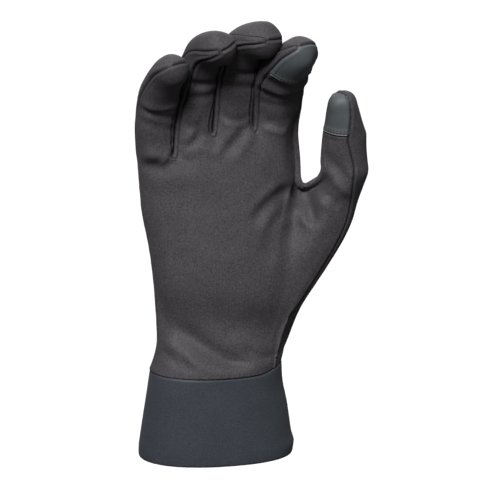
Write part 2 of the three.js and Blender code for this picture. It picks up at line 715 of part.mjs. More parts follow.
const glove = new THREE.Group();
glove.name = 'knit_glove';
const surface = handSurface();
for (const [name, material] of PANELS) {
  const piece = new THREE.Mesh(clothPanel(surface, name), material);
  piece.name = name;
  glove.add(piece);
}
const cuff = new THREE.Mesh(cuffSolid(surface, HAND_ROWS[0]), SMOOTH_CLOTH);
cuff.name = 'cuff';
glove.add(cuff);

export default glove;
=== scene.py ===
import math

import bpy
import numpy as np
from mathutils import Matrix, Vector, noise
from mathutils.bvhtree import BVHTree


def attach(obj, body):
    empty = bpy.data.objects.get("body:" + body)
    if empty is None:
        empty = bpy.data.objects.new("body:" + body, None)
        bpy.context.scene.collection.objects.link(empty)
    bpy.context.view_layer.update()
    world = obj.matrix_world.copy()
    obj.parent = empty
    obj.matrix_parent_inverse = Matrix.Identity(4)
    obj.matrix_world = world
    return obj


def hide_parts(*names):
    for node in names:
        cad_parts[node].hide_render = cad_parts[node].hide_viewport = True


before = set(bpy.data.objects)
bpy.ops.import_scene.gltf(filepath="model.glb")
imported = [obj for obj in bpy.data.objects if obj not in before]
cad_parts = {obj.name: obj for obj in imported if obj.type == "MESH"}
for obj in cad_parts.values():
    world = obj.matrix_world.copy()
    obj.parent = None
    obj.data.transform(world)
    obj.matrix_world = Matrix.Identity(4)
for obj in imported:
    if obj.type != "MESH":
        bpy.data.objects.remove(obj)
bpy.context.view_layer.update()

MM = 0.001

# The knit and how finely it is worked out
CLOTH = 1.1  # thickness of the knit
LEVELS = 4  # rounds of subdivision of the outer sheet
INNER_LEVEL = 2  # and of the inner one
FIT_ROUNDS = 8  # rounds that bring the smooth surface onto the tables' points
UNEVEN = ((0.16, 14.0, 0.0), (0.07, 5.0, 3.7))  # height, size and shift of its slight unevenness

# Seams between the panels
SEAM_DRAW = 0.1  # half of the space between two panels
SEAM_DEPTH = 0.7  # how deep a seam pulls the cloth in
SEAM_WIDTH = 0.75
SEAM_SHADE_WIDTH = 0.5  # half width of the painted shade along a seam's groove
SEAM_SHADE_DARKNESS = 0.5  # and how much darker that painted shade makes the cloth
SHOULDER = 0.26  # height of the roll beside a seam
SHOULDER_AT = 1.7
SHOULDER_WIDTH = 0.8
PUCKER = 0.14  # height of the small puckers along a seam
PUCKER_WIDTH = 2.2
PUCKER_SIZE = 2.6
PUCKER_SHIFT = 9.1
SLIT_FOOT_DROP = 2  # at the front the slits between the fingers reach down by this much more
SLIT_FOOT_DEPTH = 0.76
GUSSET_CALM = 0.85  # the seam beside the thumb's crotch is much shallower
GUSSET_CALM_REACH = 5
GUSSET_CALM_FADE = 2
TIP_CALM = 0.96  # the seams are this much shallower where the side strips close at a tip
TIP_CALM_REACH = 8
STRIP_SINE = 0.5  # the side strips lie beyond this sine of the angle round a finger
STRIP_FADE = 4
FAINT_SEAM = 0.8  # on the curled fingers the seams beside the back are hardly seen near the tips
FAINT_REACH = 30
CURLED_FROM = 0.9  # the ring and the middle finger have the numbers 1 and 2
CURLED_TO = 2.1
BACK_SIDE = 0.1  # their back lies below this cosine
BACK_FADE = 3
BEFORE_THUMB = 3.5  # the thumb has the number 4
FAR_FROM_TIP = 99

# Fingertips and the thumb's base
TIP_CENTRE = 8  # the fingertips are rounded about a point this far below their ends
TIP_REACH = 12
TIP_FADE = 6
TIP_OUTWARD = 2  # how far the tip's own direction counts beside the cloth's normals
TIP_ROUNDS = 50  # rounds of evening out for the cloth's own grid there
TIP_POWER = 4  # highest power in the surface that is fitted to a tip
THUMB_KNUCKLE = (82, -6, 160)
KNUCKLE_REACH = 17  # the side of the thumb's base is rounded off within this distance
KNUCKLE_ROUNDS = 60

# Touch patches and stitches
PATCH_FINGERS = {"index_touch_patch": 3, "thumb_touch_patch": 4}
PATCH_EDGE_RISE = 0.8  # the touch patches lie on top of the knit at their hems
PATCH_EDGE_WIDTH = 2.0
KNIT_DIP = 0.25  # and press it in beside them
KNIT_DIP_WIDTH = 1.2
HEM_EDGE_ABOVE = 0.25  # the rolled edge of the hem
HEM_EDGE_STEP = 0.4
HEM_EDGE_TRIM = 2  # steps left free at each end
HEM_EDGE_RADIUS = 0.44
HEM_EDGE_RISE = 0.2
STITCHES_ABOVE = (1.4, 2.9)
PATCH_STITCH = {"pitch": 1.9, "length": 1.35, "radius": 0.25, "rise": 0.15}
SLIT_STITCH = {"pitch": 1.5, "length": 1.0, "radius": 0.2, "rise": 0.12}
SLIT_RADIUS = 2.7  # stitches run round the slit's foot in this half circle
SLIT_RISE = -2.4
SLIT_STEPS = 25
FRONT_OF_ALL = -200
THREAD_SIDES = 7
STITCH_RINGS = 6
STITCH_SINK = 0.5  # a stitch's ends lie this share of its radius deep
STITCH_END = 0.35  # and are this thin
STITCH_TIP = 0.06

# The wrist hem
HEM_RISE = 3.2  # the hem is higher by this much at the thumb's side
HEM_RISE_FROM = 20
HEM_RISE_REACH = 18
HEM_PLAIN = 52  # no fold reaches into the hem, where the cuff lies right under the knit
HEM_PLAIN_FADE = 7
HEM_LIFT_LOW = 30  # the cuff is drawn up with it from here
HEM_LIFT_HIGH = 66  # and the hand up to here

# The form of the hand and the fingers
STRETCH = 2.1  # powers of the rounded sections
FINGER_STRETCH = 2.25
LEFT_EDGE = 0.9  # the palm's outermost columns, as shares of the half width
RIGHT_EDGE = 0.96
EDGE_STRETCH = 2.6  # below the index finger the palm is full and then slopes off to its edge
EDGE_SLOPE = 3.3
EDGE_END = 0.1
GUSSET_SHARE = 0.55  # the side strips are narrower on the front at the index finger's right
LEFT_SHARE = 0.72  # and at the left of three fingers
FINGER_COLUMNS = 3  # columns of quads on the front of a finger
HAND_COLUMNS = 12
THUMB_COLUMNS = 3
THUMB_TURN = 1.2  # how soon the thumb's side of the hand comes forward
HAND_SIDE_ARC = 14  # on the flat cloth the middle of the side lies this much further out
KNUCKLE_SIDE_ARC = 12
THUMB_CROTCH_FORWARD = 1
THUMB_CROTCH_DROP = 1.5
LINE_STEP = 0.25
ROLL_START = 12  # a finger turns about its own line between these distances from its root
ROLL_REACH = 32
BEND_REACH = 8  # half length of a bend
ROOT_REACH = 6
STRIP_PLACES = (0, 0.6, 0.8, 1)  # half widths of the side strips along a finger, in degrees
STRIP_ANGLES = (50, 42, 19, 10)
FIRST_STATION = 0.36
BEND_BEFORE = 7
BEND_AFTER = 6
TIP_STATIONS = (0.44, 0.12)
TIP_LINE = 0.16
TIP_LINE_FLAT = 4
FOLD_FADE = 0.3  # folds fade over this share of their length at both ends
FACING_FADE = 2
CREASE_FROM = 2  # creases begin this far above a finger's root
CREASE_SIDES = 1.5
OFF_FINGER = -1  # tags of the hand below the fingers
FAR_BELOW = -20

# Columns of a vertex's tags. The last one is how much painted shade the groove of a seam gets there.
ON_FINGER, ALONG, COSINE, SINE, FLAT_X, FLAT_Z, PAINTED_SHADE = range(7)


def table(names, rows):
    """Rows of numbers as rows with names."""
    keys = names.split()
    return [dict(zip(keys, row)) for row in rows]


HAND_ROWS = table("left_x left_z border_x border_z right_x right_z seam thumb_y front back split", [
    (-37.5, 50, 25, 50, 37.5, 50, 0.83, 0, 26, 26, 0),
    (-33.5, 62, 27, 61, 39.7, 59, 0.82, 0, 24, 23.5, 0),
    (-33.2, 76, 29.5, 74, 43.4, 70, 0.82, -1, 22.5, 21, 0),
    (-34.5, 98, 33.5, 95, 50, 86, 0.85, -3, 21.5, 19, 0),
    (-37.3, 121, 38.5, 119, 61.4, 105, 0.88, -5.5, 20, 17.5, 0.12),
    (-40.7, 139, 44.5, 139, 73.6, 127, 0.9, -7.8, 18.3, 16, 0.5),
    (-41.9, 152, 50, 151.5, 78.4, 143, 0.9, -9, 17, 15.5, 0.78),
])
KNUCKLE_ROWS = table("left_x left_z right_x right_z front back split", [
    (-42.4, 160.5, 48, 163.5, 15.2, 14.5, 0),
    (-42.9, 167, 47, 176, 13.8, 13.5, 0.12),
])
CROTCHES = ((-43.2, 172.5), (-23.8, 174), (-2, 184.5), (20.3, 186), (46.6, 187))
CROTCH_ROW = {"front": 12.2, "back": 11.5, "split": 0.36, "end_depth": 0.55, "right_depth": 0.34,
              "end_inset": 1.8, "right_inset": 1}
FINGERS = table("name x y z lean turn yaw bend1 bend2 bend3 l1 l2 l3 hem roll0 back0 roll1", [
    ("little", -34, 0, 173, 0, 6, 18, 15, 26, 18, 31, 19, 18, 17, 0, 0, 4),
    ("ring", -12.4, 0, 180, 2, 0, 31, 11, 23, 44, 33.5, 21.5, 21.5, 22, 0, 0, 24),
    ("middle", 9.2, 0, 186, 3, 0, 39, 14, 21, 46, 33, 21, 21.5, 22, 0, 0, 0),
    ("index", 33.3, 0, 186.5, 0, 0, 35, 24, 26, 2, 27, 18, 20, 22, 0, 0, -6),
    ("thumb", 70, -9, 150, 3, -35, 0, 4, 10, 8, 23, 18, 16, 22, 0, 28, -18),
])
FINGER_WIDTHS = (
    (21, 22, 19.5, 17.5),
    (20.8, 21, 20.5, 19.5),
    (21.8, 23, 25.8, 20.5),
    (26, 27.4, 27.4, 21.8),
    (28, 26, 20, 13.4),
)
FINGER_DEPTHS = (
    (20, 19, 17.5, 15.5),
    (20, 19, 19, 18),
    (20.5, 19, 19, 19),
    (20.5, 21, 20.5, 16.5),
    (26, 23, 18, 14),
)
PALM, BACK = "palm_panel", "back_panel"
SIDES = {
    "little": (None, "fourchette_little_ring"),
    "ring": ("fourchette_little_ring", "fourchette_ring_middle"),
    "middle": ("fourchette_ring_middle", "fourchette_middle_index"),
    "index": ("fourchette_middle_index", "thumb_gusset"),
    "thumb": ("thumb_gusset", "back_panel"),
}
TIP_PANELS = {"index": "index_touch_patch", "thumb": "thumb_touch_patch"}
PANELS = (
    "palm_panel", "back_panel", "fourchette_little_ring", "fourchette_ring_middle",
    "fourchette_middle_index", "thumb_gusset", "index_touch_patch", "thumb_touch_patch",
)

# Folds on the palm's side as the front shows them: both ends, bow, half width and height.
FOLDS = table("x0 z0 x1 z1 bow width height", [
    (-31, 81, 20, 51, -2, 6.5, -2.4),
    (-33, 73, -12, 53, 0, 4.5, 0.6),
    (-30, 66, -18, 49, 0, 4, -1.3),
    (-30, 94, 42, 68, 0, 13, -1.4),
    (-24, 175, -44, 165.5, 1, 3, -1),
    (-19, 182, -29, 166, 0, 3.5, -1.2),
    (-7, 188, -20, 175, 0, 3.5, -1.2),
    (18, 191, 1, 172, 0, 4, -1.5),
    (44, 155, 15, 134, -2, 5, -1.9),
    (40, 147, 26, 128, 0, 5, -1.2),
    (43, 154, 47, 128, 0, 3.2, 1.5),
    (48.5, 154, 57, 139, 0, 3.2, 1.3),
    (46, 154, 53, 130, -1, 3.6, -2.4),
    (55, 173, 71, 153, 1, 3.5, -1.2),
    (57, 165, 69, 146, 1, 3.5, 0.9),
    (0, 196, 18, 193, -4, 3, -0.9),
    (-21, 189, -7, 190, -1, 3, -0.8),
    (24, 191, 40, 186, -1, 3, -0.9),
])

# Smaller wrinkles, which only the fine cloth has, in the same form.
WRINKLES = table("x0 z0 x1 z1 bow width height", [
    (-23, 181, -33, 166, 0, 2.2, 0.9),
    (-11, 188, -25, 173, 0, 2.4, 0.8),
    (13, 190, -5, 170, 0, 2.6, 0.9),
    (22, 189, 8, 168, 0, 2.6, 0.6),
    (-1, 193, 18, 190, -3, 2, 0.6),
    (23, 187, 40, 183, -1, 2.2, 0.6),
    (-20, 176, 0, 172, 2, 2, 0.35),
    (39, 158, 12, 137, -2, 3, 0.9),
    (35, 146, 20, 127, -1, 3, 0.7),
    (47, 153, 48, 128, 0, 1.7, 1.2),
    (52, 153, 60, 139, 0, 2, 0.9),
    (56, 151, 66, 140, 1, 2, -0.8),
    (60, 158, 72, 146, 1, 2.4, 0.7),
    (-34, 75, -20, 53, 0, 2.6, 0.5),
    (-26, 64, -12, 48, 0, 2.6, -0.6),
    (2, 74, 30, 58, 1, 4, 0.9),
    (10, 66, 33, 55, 0, 3, -0.8),
    (47, 134, 47, 202, 0, 9, -3.2),
    (-80, 89, 84, 64, 0, 13, -3),
    (-36, 82, 24, 50, -2, 5, -2),
    (41, 140, 60, 162, 0, 4.5, -2.5),
    (-22, 174.5, -46, 166, 1, 3.5, 0.8),
    (38, 156, 36, 132, 0, 4.5, -1.6),
    (40, 136, 20, 112, 0, 7, -1.2),
])

# Creases across a finger's inner side, counted along the finger.
CREASES = table("finger along tilt width height", [
    (0, 19, -3, 3, -0.8),
    (0, 26, -4, 3, -1.1),
    (0, 34, 0, 3, 0.7),
    (1, 27, 1, 3, -0.9),
    (1, 38, 0, 3.2, -1.8),
    (2, 27, -1, 3, -0.9),
    (2, 38, 0, 3.2, -1.8),
    (3, 18, -1, 3, -0.9),
    (3, 25, -1, 3.5, -1.4),
    (3, 32, 0, 3.5, 1),
    (3, 39, 1, 3.2, -1.3),
])


def unit(a):
    return a / np.maximum(np.linalg.norm(a, axis=-1, keepdims=True), 1e-12)


def mix(a, b, t):
    return a + (b - a) * t


def smooth(t):
    t = np.clip(t, 0.0, 1.0)
    return t * t * (3 - 2 * t)


def bell(distance, width):
    return np.exp(-(distance / width) ** 2)


def section(u, power=STRETCH):
    """Depth of a rounded section at a place across it, from -1 to 1."""
    return max(0.0, 1 - abs(u) ** power) ** (1 / power)


def section_radius(c, q, power):
    """Radius of a rounded section in the direction with this cosine and sine."""
    return (np.abs(c) ** power + np.abs(q) ** power) ** (-1 / power)


def lobed_section(u, edges, split):
    """A section that parts into rounded lobes between the edges, as far as the split says."""
    whole = section(u)
    lobe = 0.0
    for low, high in zip(edges, edges[1:]):
        t = (u - low) / (high - low)
        if -1e-9 <= t <= 1 + 1e-9:
            lobe = max(lobe, section(2 * t - 1, 2))
    return mix(whole, min(whole, lobe), split)


class Cage:
    """Coarse quads with a panel each. A vertex's tags are its finger, its distance along it, the cosine and
    sine of its angle round it, and its place across and along the flat cloth."""

    def __init__(self):
        self.points = []
        self.tags = []
        self.quads = []
        self.panels = []

    def vertex(self, point, finger, s, angle, across, along):
        self.points.append(tuple(float(v) for v in point))
        self.tags.append((finger, s, math.cos(angle), math.sin(angle), across, along))
        return len(self.points) - 1

    def band(self, low, high, panel):
        for k in range(len(low) - 1):
            self.quads.append((low[k], low[k + 1], high[k + 1], high[k]))
            self.panels.append(PANELS.index(panel))


def length_of(finger):
    return finger["l1"] + finger["l2"] + finger["l3"]


def finger_line(finger):
    """Place, pad direction and side of the finger's middle line at a distance along it."""
    turn = math.radians(finger["turn"])
    lean = math.radians(finger["lean"])
    up = np.array([math.sin(lean), 0, math.cos(lean)])
    flat = np.array([math.sin(turn), -math.cos(turn), 0])
    forward = unit(flat - up * flat.dot(up))
    sideways = np.cross(up, forward)
    l1, l2, l3 = finger["l1"], finger["l2"], finger["l3"]
    total = length_of(finger)
    count = int(math.ceil(total / LINE_STEP))
    places = np.linspace(0, total, count + 1)
    bend = np.radians(
        finger["bend1"] * smooth((places + ROOT_REACH) / (ROOT_REACH + BEND_REACH))
        + finger["bend2"] * smooth((places - l1 + BEND_REACH) / (2 * BEND_REACH))
        + finger["bend3"] * smooth((places - l1 - l2 + BEND_REACH) / (2 * BEND_REACH))
    )[:, None]
    yawed = smooth((places - l1 + BEND_REACH) / (l2 + l3 + BEND_REACH))
    yaw = (math.radians(finger["yaw"]) * yawed)[:, None]
    ahead = forward * np.cos(yaw) + sideways * np.sin(yaw)
    side = sideways * np.cos(yaw) - forward * np.sin(yaw)
    direction = ahead * np.sin(bend) + up * np.cos(bend)
    pad = ahead * np.cos(bend) - up * np.sin(bend)
    steps = (direction[:-1] + direction[1:]) / 2 * (total / count)
    line = np.vstack([np.zeros(3), np.cumsum(steps, axis=0)]) + (finger["x"], finger["y"], finger["z"])

    def at(s):
        return tuple(
            np.array([np.interp(s, places, rows[:, axis]) for axis in range(3)]) for rows in (line, pad, side)
        )

    return at


def finger_size(index, s):
    """Half width and half depth of a finger at a distance along it."""
    finger = FINGERS[index]
    total = length_of(finger)
    stations = (0, finger["l1"], finger["l1"] + finger["l2"], total)
    radius = FINGER_WIDTHS[index][3] / 2
    rounding = 1.0
    if s > total - radius:
        rounding = math.sqrt(max(0.0, 1 - ((s - total + radius) / radius) ** 2))
    width = np.interp(s, stations, FINGER_WIDTHS[index])
    depth = np.interp(s, stations, FINGER_DEPTHS[index])
    return width / 2 * rounding, depth / 2 * rounding


def fold_over(degrees):
    """Angle from the pad, or from the back on the back's side, so that both sides share their columns."""
    return degrees if degrees <= 90 else 180 - degrees


def add_finger(cage, index, front, right, back, left):
    """Adds a finger from its root, whose vertices are given, to its tip."""
    finger = FINGERS[index]
    name = finger["name"]
    total = length_of(finger)
    tip_width = FINGER_WIDTHS[index][3]
    flat_half = FINGER_WIDTHS[index][0] / 2
    at = finger_line(finger)
    pad_panel = TIP_PANELS.get(name, PALM)
    left_panel, right_panel = SIDES[name]
    left_share = LEFT_SHARE if name in ("ring", "middle", "index") else 1
    right_share = GUSSET_SHARE if name == "index" else 1
    stations = [
        FIRST_STATION * finger["l1"], finger["l1"] - BEND_BEFORE, finger["l1"] + BEND_AFTER,
        total - finger["hem"], total - TIP_STATIONS[0] * tip_width, total - TIP_STATIONS[1] * tip_width,
    ]
    for s in stations:
        place, pad, side = at(s)
        half_width, half_depth = finger_size(index, s)
        strip = np.interp(s / total, STRIP_PLACES, STRIP_ANGLES)
        edge = 90 - strip
        rolled = smooth((s - ROLL_START) / (ROLL_REACH - ROLL_START))
        front_roll = mix(finger["roll0"], finger["roll1"], rolled)
        back_roll = mix(finger["back0"], finger["roll1"], smooth(s / ROLL_REACH))

        def vertex_at(degrees):
            share = 0.5 if abs(degrees) == 90 else float(degrees > 90)
            angle = math.radians(degrees + mix(front_roll, back_roll, share))
            c, q = math.cos(angle), math.sin(angle)
            r = section_radius(c, q, FINGER_STRETCH)
            point = place + pad * (c * r * half_depth) + side * (q * r * half_width)
            across = finger["x"] + math.radians(fold_over(degrees)) * flat_half
            return cage.vertex(point, index, s, angle, across, finger["z"] + s)

        front_angles = (strip * left_share - 90, -edge / 3, edge / 3, 90 - strip * right_share)
        next_front = [vertex_at(degrees) for degrees in front_angles]
        next_back = [vertex_at(180 + across) for across in (-edge, -edge / 3, edge / 3, edge)]
        next_right = vertex_at(90)
        next_left = vertex_at(-90)
        on_tip = s > total - finger["hem"] + 1e-6
        cage.band(front, next_front, pad_panel if on_tip else PALM)
        cage.band([front[3], right, back[0]], [next_front[3], next_right, next_back[0]], right_panel)
        cage.band(back, next_back, BACK)
        cage.band([back[3], left], [next_back[3], next_left], left_panel or BACK)
        cage.band([left, front[0]], [next_left, next_front[0]], left_panel or PALM)
        front, right, back, left = next_front, next_right, next_back, next_left
    place, pad, side = at(total)
    roll = math.radians(finger["roll1"])
    across_tip = side * math.cos(roll) - pad * math.sin(roll)
    ends = [
        cage.vertex(place + across_tip * (k * TIP_LINE * tip_width), index, total, 0,
                    finger["x"] + k * TIP_LINE_FLAT, finger["z"] + total)
        for k in (-1, 1)
    ]
    tip_line = [left, ends[0], ends[1], right]
    cage.band(front, tip_line, pad_panel)
    cage.band(tip_line, back[::-1], BACK)


def add_ring(cage, row, columns, side_arc):
    """Adds a closed row of the hand. A column is its x, its y at the front and at the back, and its z."""
    ring = {"front": [], "back": []}
    for x, front, back, z in columns:
        ring["front"].append(cage.vertex((x, front, z), OFF_FINGER, FAR_BELOW, 0, x, z))
        ring["back"].append(cage.vertex((x, back, z), OFF_FINGER, FAR_BELOW, math.pi, x, z))
    for side, sign, y in (("left", -1, 0), ("right", 1, row.get("thumb_y", 0))):
        x, z = row[side + "_x"], row[side + "_z"]
        angle = sign * math.pi / 2
        ring[side] = cage.vertex((x, y, z), OFF_FINGER, FAR_BELOW, angle, x + sign * side_arc, z)
    return ring


def join_rings(cage, rings, right_panel):
    """Adds the bands of quads between neighbouring rings."""
    for low, high in zip(rings, rings[1:]):
        cage.band(low["front"], high["front"], PALM)
        cage.band([low["front"][-1], low["right"], low["back"][-1]],
                  [high["front"][-1], high["right"], high["back"][-1]], right_panel)
        cage.band(low["back"][::-1], high["back"][::-1], BACK)
        cage.band([low["back"][0], low["left"]], [high["back"][0], high["left"]], BACK)
        cage.band([low["left"], low["front"][0]], [high["left"], high["front"][0]], PALM)


def hand_cage():
    cage = Cage()
    rings = []
    for row in HAND_ROWS:
        middle = (row["left_x"] + row["right_x"]) / 2
        half = (row["right_x"] - row["left_x"]) / 2
        border = (row["border_x"] - middle) / half
        columns = []
        for c in range(HAND_COLUMNS + THUMB_COLUMNS + 1):
            if c > HAND_COLUMNS:
                t = (c - HAND_COLUMNS) / THUMB_COLUMNS
                u = mix(border, row["seam"], t)
                y = row["thumb_y"] * float(smooth(THUMB_TURN * t))
                z = mix(row["border_z"], row["right_z"], t)
            else:
                t = c / HAND_COLUMNS
                u = mix(-LEFT_EDGE, border, t)
                y = 0.0
                z = mix(row["left_z"], row["border_z"], t)
            depth = lobed_section(u, (-1, border, 1), row["split"])
            columns.append((middle + u * half, y - depth * row["front"], y + depth * row["back"], z))
        rings.append(add_ring(cage, row, columns, HAND_SIDE_ARC))
    join_rings(cage, rings, BACK)

    top = rings[-1]
    top_row = HAND_ROWS[-1]
    crotch = (top_row["border_x"], -THUMB_CROTCH_FORWARD, top_row["border_z"] - THUMB_CROTCH_DROP)
    thumb_crotch = cage.vertex(crotch, OFF_FINGER, FAR_BELOW, 0, crotch[0], crotch[2])
    upper = [{
        "front": top["front"][:HAND_COLUMNS + 1], "back": top["back"][:HAND_COLUMNS + 1],
        "left": top["left"], "right": thumb_crotch,
    }]
    for row in KNUCKLE_ROWS:
        middle = (row["left_x"] + row["right_x"]) / 2
        half = (row["right_x"] - row["left_x"]) / 2
        columns = []
        for c in range(HAND_COLUMNS + 1):
            t = c / HAND_COLUMNS
            u = mix(-LEFT_EDGE, RIGHT_EDGE, t)
            depth = lobed_section(u, (-1, -LEFT_EDGE / 2, 0, LEFT_EDGE / 2, 1), row["split"])
            front = depth
            if u >= 0:
                front = min(max(depth, section(u, EDGE_STRETCH)), EDGE_SLOPE * (1 - u) + EDGE_END)
            z = mix(row["left_z"], row["right_z"], t)
            columns.append((middle + u * half, -front * row["front"], depth * row["back"], z))
        upper.append(add_ring(cage, row, columns, KNUCKLE_SIDE_ARC))

    parting = {"front": [], "back": []}
    for c in range(HAND_COLUMNS + 1):
        k = min(c // FINGER_COLUMNS, len(CROTCHES) - 2)
        t = (c - FINGER_COLUMNS * k) / FINGER_COLUMNS
        at_end = c in (0, HAND_COLUMNS)
        inset = {0: CROTCH_ROW["end_inset"], HAND_COLUMNS: -CROTCH_ROW["right_inset"]}.get(c, 0)
        x = mix(CROTCHES[k][0], CROTCHES[k + 1][0], t) + inset
        z = mix(CROTCHES[k][1], CROTCHES[k + 1][1], t)
        depth = CROTCH_ROW["end_depth"] if at_end else mix(1, section(2 * t - 1, 2), CROTCH_ROW["split"])
        if c % FINGER_COLUMNS == 0 and not at_end:
            z -= SLIT_FOOT_DROP
            depth = SLIT_FOOT_DEPTH
        front = CROTCH_ROW["right_depth"] if c == HAND_COLUMNS else depth
        parting["front"].append(cage.vertex((x, -CROTCH_ROW["front"] * front, z), k, 0, 0, x, z))
        parting["back"].append(cage.vertex((x, CROTCH_ROW["back"] * depth, z), k, 0, math.pi, x, z))
    crotches = [
        cage.vertex((x, 0, z), min(k, len(CROTCHES) - 2), 0, math.pi / 2, x, z)
        for k, (x, z) in enumerate(CROTCHES)
    ]
    parting["left"] = crotches[0]
    parting["right"] = crotches[-1]
    upper.append(parting)
    join_rings(cage, upper, "thumb_gusset")
    for index, finger in enumerate(FINGERS):
        if finger["name"] == "thumb":
            back = top["back"][HAND_COLUMNS:][::-1]
            add_finger(cage, index, top["front"][HAND_COLUMNS:], top["right"], back, thumb_crotch)
        else:
            own = slice(FINGER_COLUMNS * index, FINGER_COLUMNS * (index + 1) + 1)
            back = parting["back"][own][::-1]
            add_finger(cage, index, parting["front"][own], crotches[index + 1], back, crotches[index])
    return cage


def sides_of(quads):
    return np.stack([quads, np.roll(quads, -1, axis=1)], axis=2).reshape(-1, 2)


def edges_of(quads):
    """Sorted unique edges, the edge of each quad's side, and how many quads use each."""
    keys = np.sort(sides_of(quads), axis=1)
    scale = int(quads.max()) + 1
    codes = keys[:, 0] * scale + keys[:, 1]
    codes, inverse, count = np.unique(codes, return_inverse=True, return_counts=True)
    return np.stack([codes // scale, codes % scale], axis=1), inverse.reshape(-1, 4), count


def rim_sides(quads):
    """Sides that only one quad has, in that quad's own direction."""
    sides = sides_of(quads)
    keys = np.sort(sides, axis=1)
    codes = keys[:, 0] * (int(quads.max()) + 1) + keys[:, 1]
    _, first, count = np.unique(codes, return_index=True, return_counts=True)
    return sides[first[count == 1]]


def summed(size, index, values):
    """Sum of the values that go to each index."""
    return np.stack([np.bincount(index, values[:, k], size) for k in range(values.shape[1])], axis=1)


def neighbour_sum(points, edges):
    """Sum of the points at the other ends of each vertex's edges."""
    return summed(len(points), edges.T.ravel(), np.vstack([points[edges[:, 1]], points[edges[:, 0]]]))


def rim_neighbours(points, edges, count):
    """Which vertices lie on an open rim, and the sum of their neighbours along it."""
    rim_edges = edges[count == 1]
    on_rim = np.bincount(rim_edges.ravel(), minlength=len(points)) > 0
    return on_rim, neighbour_sum(points, rim_edges)


def refine(points, tags, quads, panels):
    """One round of Catmull-Clark subdivision. Tags are averaged, panels are handed down."""
    edges, side_edge, count = edges_of(quads)
    size = len(points)
    centres = points[quads].mean(axis=1)
    edge_sum = points[edges].sum(axis=1)
    beside = summed(len(edges), side_edge.ravel(), np.repeat(centres, 4, axis=0))
    edge_points = np.where((count == 1)[:, None], edge_sum / 2, (edge_sum + beside) / 4)
    valence = np.bincount(edges.ravel(), minlength=size)[:, None]
    middles = summed(size, edges.T.ravel(), np.tile(edge_sum / 2, (2, 1)))
    around = summed(size, quads.ravel(), np.repeat(centres, 4, axis=0))
    faces = np.bincount(quads.ravel(), minlength=size)[:, None]
    kept = (around / faces + 2 * middles / valence + (valence - 3) * points) / valence
    on_rim, rim_sum = rim_neighbours(points, edges, count)
    kept[on_rim] = 0.75 * points[on_rim] + 0.125 * rim_sum[on_rim]
    new_points = np.vstack([kept, edge_points, centres])
    new_tags = np.vstack([tags, tags[edges].mean(axis=1), tags[quads].mean(axis=1)])
    edge_vertex = size + side_edge
    centre_vertex = size + len(edges) + np.arange(len(quads))
    new_quads = np.stack([
        np.stack([quads[:, k], edge_vertex[:, k], centre_vertex, edge_vertex[:, k - 1]], axis=1)
        for k in range(4)
    ], axis=1).reshape(-1, 4)
    return new_points, new_tags, new_quads, np.repeat(panels, 4)


def limit(points, quads):
    """Where each vertex lies on the smooth surface that the subdivision tends to."""
    edges, _, count = edges_of(quads)
    size = len(points)
    valence = np.bincount(edges.ravel(), minlength=size)[:, None]
    ring = neighbour_sum(points, edges)
    corners = summed(size, quads.ravel(), points[np.roll(quads, -2, axis=1)].reshape(-1, 3))
    out = (valence ** 2 * points + 4 * ring + corners) / (valence * (valence + 5))
    on_rim, rim_sum = rim_neighbours(points, edges, count)
    out[on_rim] = (4 * points[on_rim] + rim_sum[on_rim]) / 6
    return out


def facing_of(points, quads):
    """Each quad's normal, as long as twice its area."""
    a, b, c, d = (points[quads[:, k]] for k in range(4))
    return np.cross(c - a, d - b)


def normals_of(points, quads):
    return unit(summed(len(points), quads.ravel(), np.repeat(facing_of(points, quads), 4, axis=0)))


def on_finger(tags, number, within=0.01):
    return np.abs(tags[:, ON_FINGER] - number) < within


def fold_height(points, normals, tags):
    """How far the folds and creases lift the cloth at each vertex."""
    height = np.zeros(len(points))
    facing = smooth(-normals[:, 1] * FACING_FADE)
    for fold in FOLDS + WRINKLES:
        dx, dz = fold["x1"] - fold["x0"], fold["z1"] - fold["z0"]
        length = math.hypot(dx, dz)
        px, pz = points[:, 0] - fold["x0"], points[:, 2] - fold["z0"]
        t = (px * dx + pz * dz) / length ** 2
        offset = (dx * pz - dz * px) / length - fold["bow"] * 4 * t * (1 - t)
        fade = smooth(np.minimum(t, 1 - t) / FOLD_FADE)
        height += facing * fold["height"] * fade * bell(offset, fold["width"])
    s = tags[:, ALONG]
    for crease in CREASES:
        near = on_finger(tags, crease["finger"], 0.5) & (s > CREASE_FROM)
        offset = s - crease["along"] - crease["tilt"] * tags[:, SINE]
        on_pad = smooth(CREASE_SIDES * tags[:, COSINE])
        height += near * crease["height"] * on_pad * bell(offset, crease["width"])
    return height * smooth((points[:, 2] - HEM_PLAIN) / HEM_PLAIN_FADE)


def evened(values, quads, share, rounds):
    """Values at the vertices drawn to the mean of their neighbours, as far as the share says."""
    inside = share > 0
    edges = edges_of(quads[inside[quads].all(axis=1)])[0]
    count = np.bincount(edges.ravel(), minlength=len(values))[:, None]
    out = values.copy()
    for _ in range(rounds):
        ring = neighbour_sum(out, edges) / np.maximum(count, 1)
        out = np.where(count > 0, mix(out, ring, share[:, None]), out)
    return out


